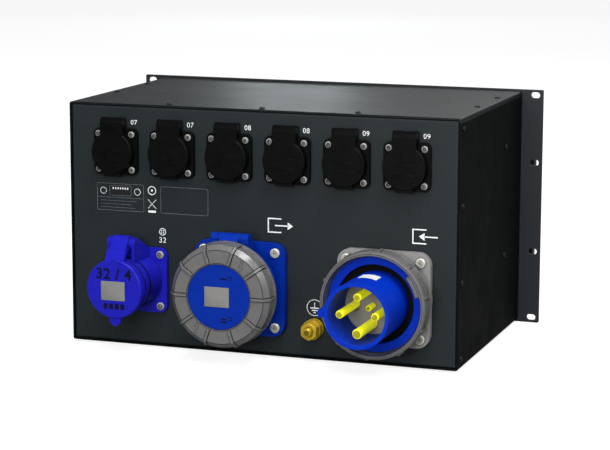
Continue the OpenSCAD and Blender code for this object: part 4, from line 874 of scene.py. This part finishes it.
# from the inlet's pins to the terminal block
for i, (x, core) in enumerate(zip(clamps, cores)):
    leaving = (-9 + 6 * i) * MM
    cable(f"inlet_cable_{i + 1}", [
        (inlet.x + leaving, inlet_back + 4 * MM, inlet.z + ((i % 2) * 12 - 6) * MM),
        (inlet.x + leaving * 0.7 + 0.3 * (x - inlet.x), inlet_back + 22 * MM, inlet.z - 6 * MM),
        (x, block_low.y - 28 * MM, clamp_z + 14 * MM),
        (x, block_low.y - 10 * MM, clamp_z),
        (x, block_low.y + 6 * MM, clamp_z)], core_r, core)

# from there up into the main breaker's three poles
for i, (x, core) in enumerate(zip(clamps[:3], cores)):
    pole = breakers_high.x - (2.5 - i) * module
    cable(f"main_cable_{i + 1}", [
        (x, block_high.y - 6 * MM, clamp_z),
        (x, block_high.y + 8 * MM, clamp_z),
        (pole, breakers_low.y + 24 * MM, clamp_z + 34 * MM),
        (pole, breakers_low.y + 22 * MM, breakers_low.z - 14 * MM),
        (pole, breakers_low.y + 22 * MM, breakers_low.z - 0.3 * MM)], core_r, core)

# from the stud to the earth bar
bar_x, bar_z = bar_high.x - 4 * MM, bar_low.z + 22 * MM
cable("earth_cable", [(stud.x, REAR + 24 * MM, stud.z), (stud.x, REAR + 60 * MM, stud.z),
                      (bar_x, bar_low.y - 30 * MM, bar_z), (bar_x, bar_low.y - 0.3 * MM, bar_z)],
      earth_r, "earth_cable")


# ---------- rack side: breaker and lamp numbers ----------

def front_number(name, number, height, x, z):
    piece(name, digits(number, height), "white_ink", "chassis", on_front(x, z), smooth=False)


for lever, number in (("main_lever", "63"), ("cee_lever", "32"), ("circuit_lever_7", "7"),
                      ("circuit_lever_8", "8"), ("circuit_lever_9", "9")):
    front_number(f"{lever}_number", number, 6, middle(lever).x, breakers_low.z + 10 * MM)

for x, number in zip((-30, 0, 30), "321"):
    front_number(f"lamp_number_{number}", number, 5, x * MM, middle("phase_lamps").z - 15 * MM)


# ---------- stage, light and camera ----------

WHITE = (1, 1, 1)
# name, place, aim, width, height, watts, colour
LIGHTS = (
    ("key", (0.9, -2.1, 3.2), (0, -0.2, 0), 2.0, 1.6, 50, WHITE),
    ("overhead", (0.75, -0.75, 2.3), (0, -0.3, 0), 0.9, 0.7, 34, WHITE),
    ("front", (0.35, -2.4, 0.45), (0, -0.3, 0), 0.9, 0.7, 28, WHITE),
    ("rack_side", (0.15, 1.9, 1.6), (0, 0.05, 0), 1.2, 0.8, 17, WHITE),
    ("edge", (1.5, -1.1, 0.95), (-0.05, -0.3, 0), 0.5, 0.4, 10, WHITE),
    ("pocket", (0.3, -1.35, 0.8), (0.14, -0.32, -0.06), 0.5, 0.4, 3.5, WHITE),
    ("fill", (-2.2, -2.6, 1.2), (0, -0.1, 0), 1.8, 1.8, 8, WHITE),
    ("sheen", (-1.55, 4.2, 0.7), (0, -0.1, 0.13), 0.36, 0.5, 2.7, (0.88, 0.97, 1.0)))
for name, place, aim, width, height, power, colour in LIGHTS:
    data = bpy.data.lights.new(name, "AREA")
    data.shape, data.size, data.size_y = "RECTANGLE", width, height
    data.energy, data.color = power, colour
    light = bpy.data.objects.new(name, data)
    light.location = place
    light.rotation_euler = (Vector(aim) - Vector(place)).to_track_quat("-Z", "Y").to_euler()
    light.visible_camera = False
    SCENE.collection.objects.link(light)


def camera_split(tree, lit, seen, end):
    """Uses one shader for light and reflections, and another for what the camera sees directly."""
    mix = tree.nodes.new("ShaderNodeMixShader")
    tree.links.new(tree.nodes.new("ShaderNodeLightPath").outputs["Is Camera Ray"], mix.inputs["Fac"])
    tree.links.new(lit, mix.inputs[1])
    tree.links.new(seen, mix.inputs[2])
    tree.links.new(mix.outputs["Shader"], tree.nodes[end].inputs["Surface"])


world = bpy.data.worlds.new("studio")
SCENE.world = world
world.use_nodes = True
tree = world.node_tree
ambient = tree.nodes["Background"]
backdrop = tree.nodes.new("ShaderNodeBackground")
for shader, strength in ((ambient, 0.22), (backdrop, 1.0)):
    shader.inputs["Color"].default_value = (*WHITE, 1)
    shader.inputs["Strength"].default_value = strength
camera_split(tree, ambient.outputs["Background"], backdrop.outputs["Background"], "World Output")

bm = bmesh.new()
bmesh.ops.create_grid(bm, x_segments=2, y_segments=2, size=30)
floor_mesh = mesh_from(bm)
floor = bpy.data.objects.new("floor", floor_mesh)
floor.location.z = cad_low.z - 0.2 * MM
SCENE.collection.objects.link(floor)

paint = bpy.data.materials.new("floor_paint")
paint.use_nodes = True
tree = paint.node_tree
matt = tree.nodes["Principled BSDF"]
matt.inputs["Base Color"].default_value = (0.22, 0.22, 0.22, 1)
matt.inputs["Roughness"].default_value = 0.9
matt.inputs["Specular IOR Level"].default_value = 0.1
pale = tree.nodes.new("ShaderNodeBsdfDiffuse")
pale.inputs["Color"].default_value = (0.4, 0.4, 0.4, 1)
glow = tree.nodes.new("ShaderNodeEmission")
glow.inputs["Strength"].default_value = 0.82
seen = tree.nodes.new("ShaderNodeAddShader")
tree.links.new(pale.outputs["BSDF"], seen.inputs[0])
tree.links.new(glow.outputs["Emission"], seen.inputs[1])
camera_split(tree, matt.outputs["BSDF"], seen.outputs["Shader"], "Material Output")
floor_mesh.materials.append(paint)

SCENE.view_settings.view_transform = "Standard"

camera_data = bpy.data.cameras.new("camera")
camera_data.lens, camera_data.sensor_width = 123.47, 36
camera = bpy.data.objects.new("camera", camera_data)
camera.location = (0.7591, -2.2827, 0.3930)
azimuth, elevation, roll = (math.radians(a) for a in (19.30, 10.08, 0.13))
camera.rotation_euler = (Matrix.Rotation(azimuth, 4, "Z") @ Matrix.Rotation(math.pi / 2 - elevation, 4, "X")
                         @ Matrix.Rotation(roll, 4, "Z")).to_euler()
SCENE.collection.objects.link(camera)
SCENE.camera = camera
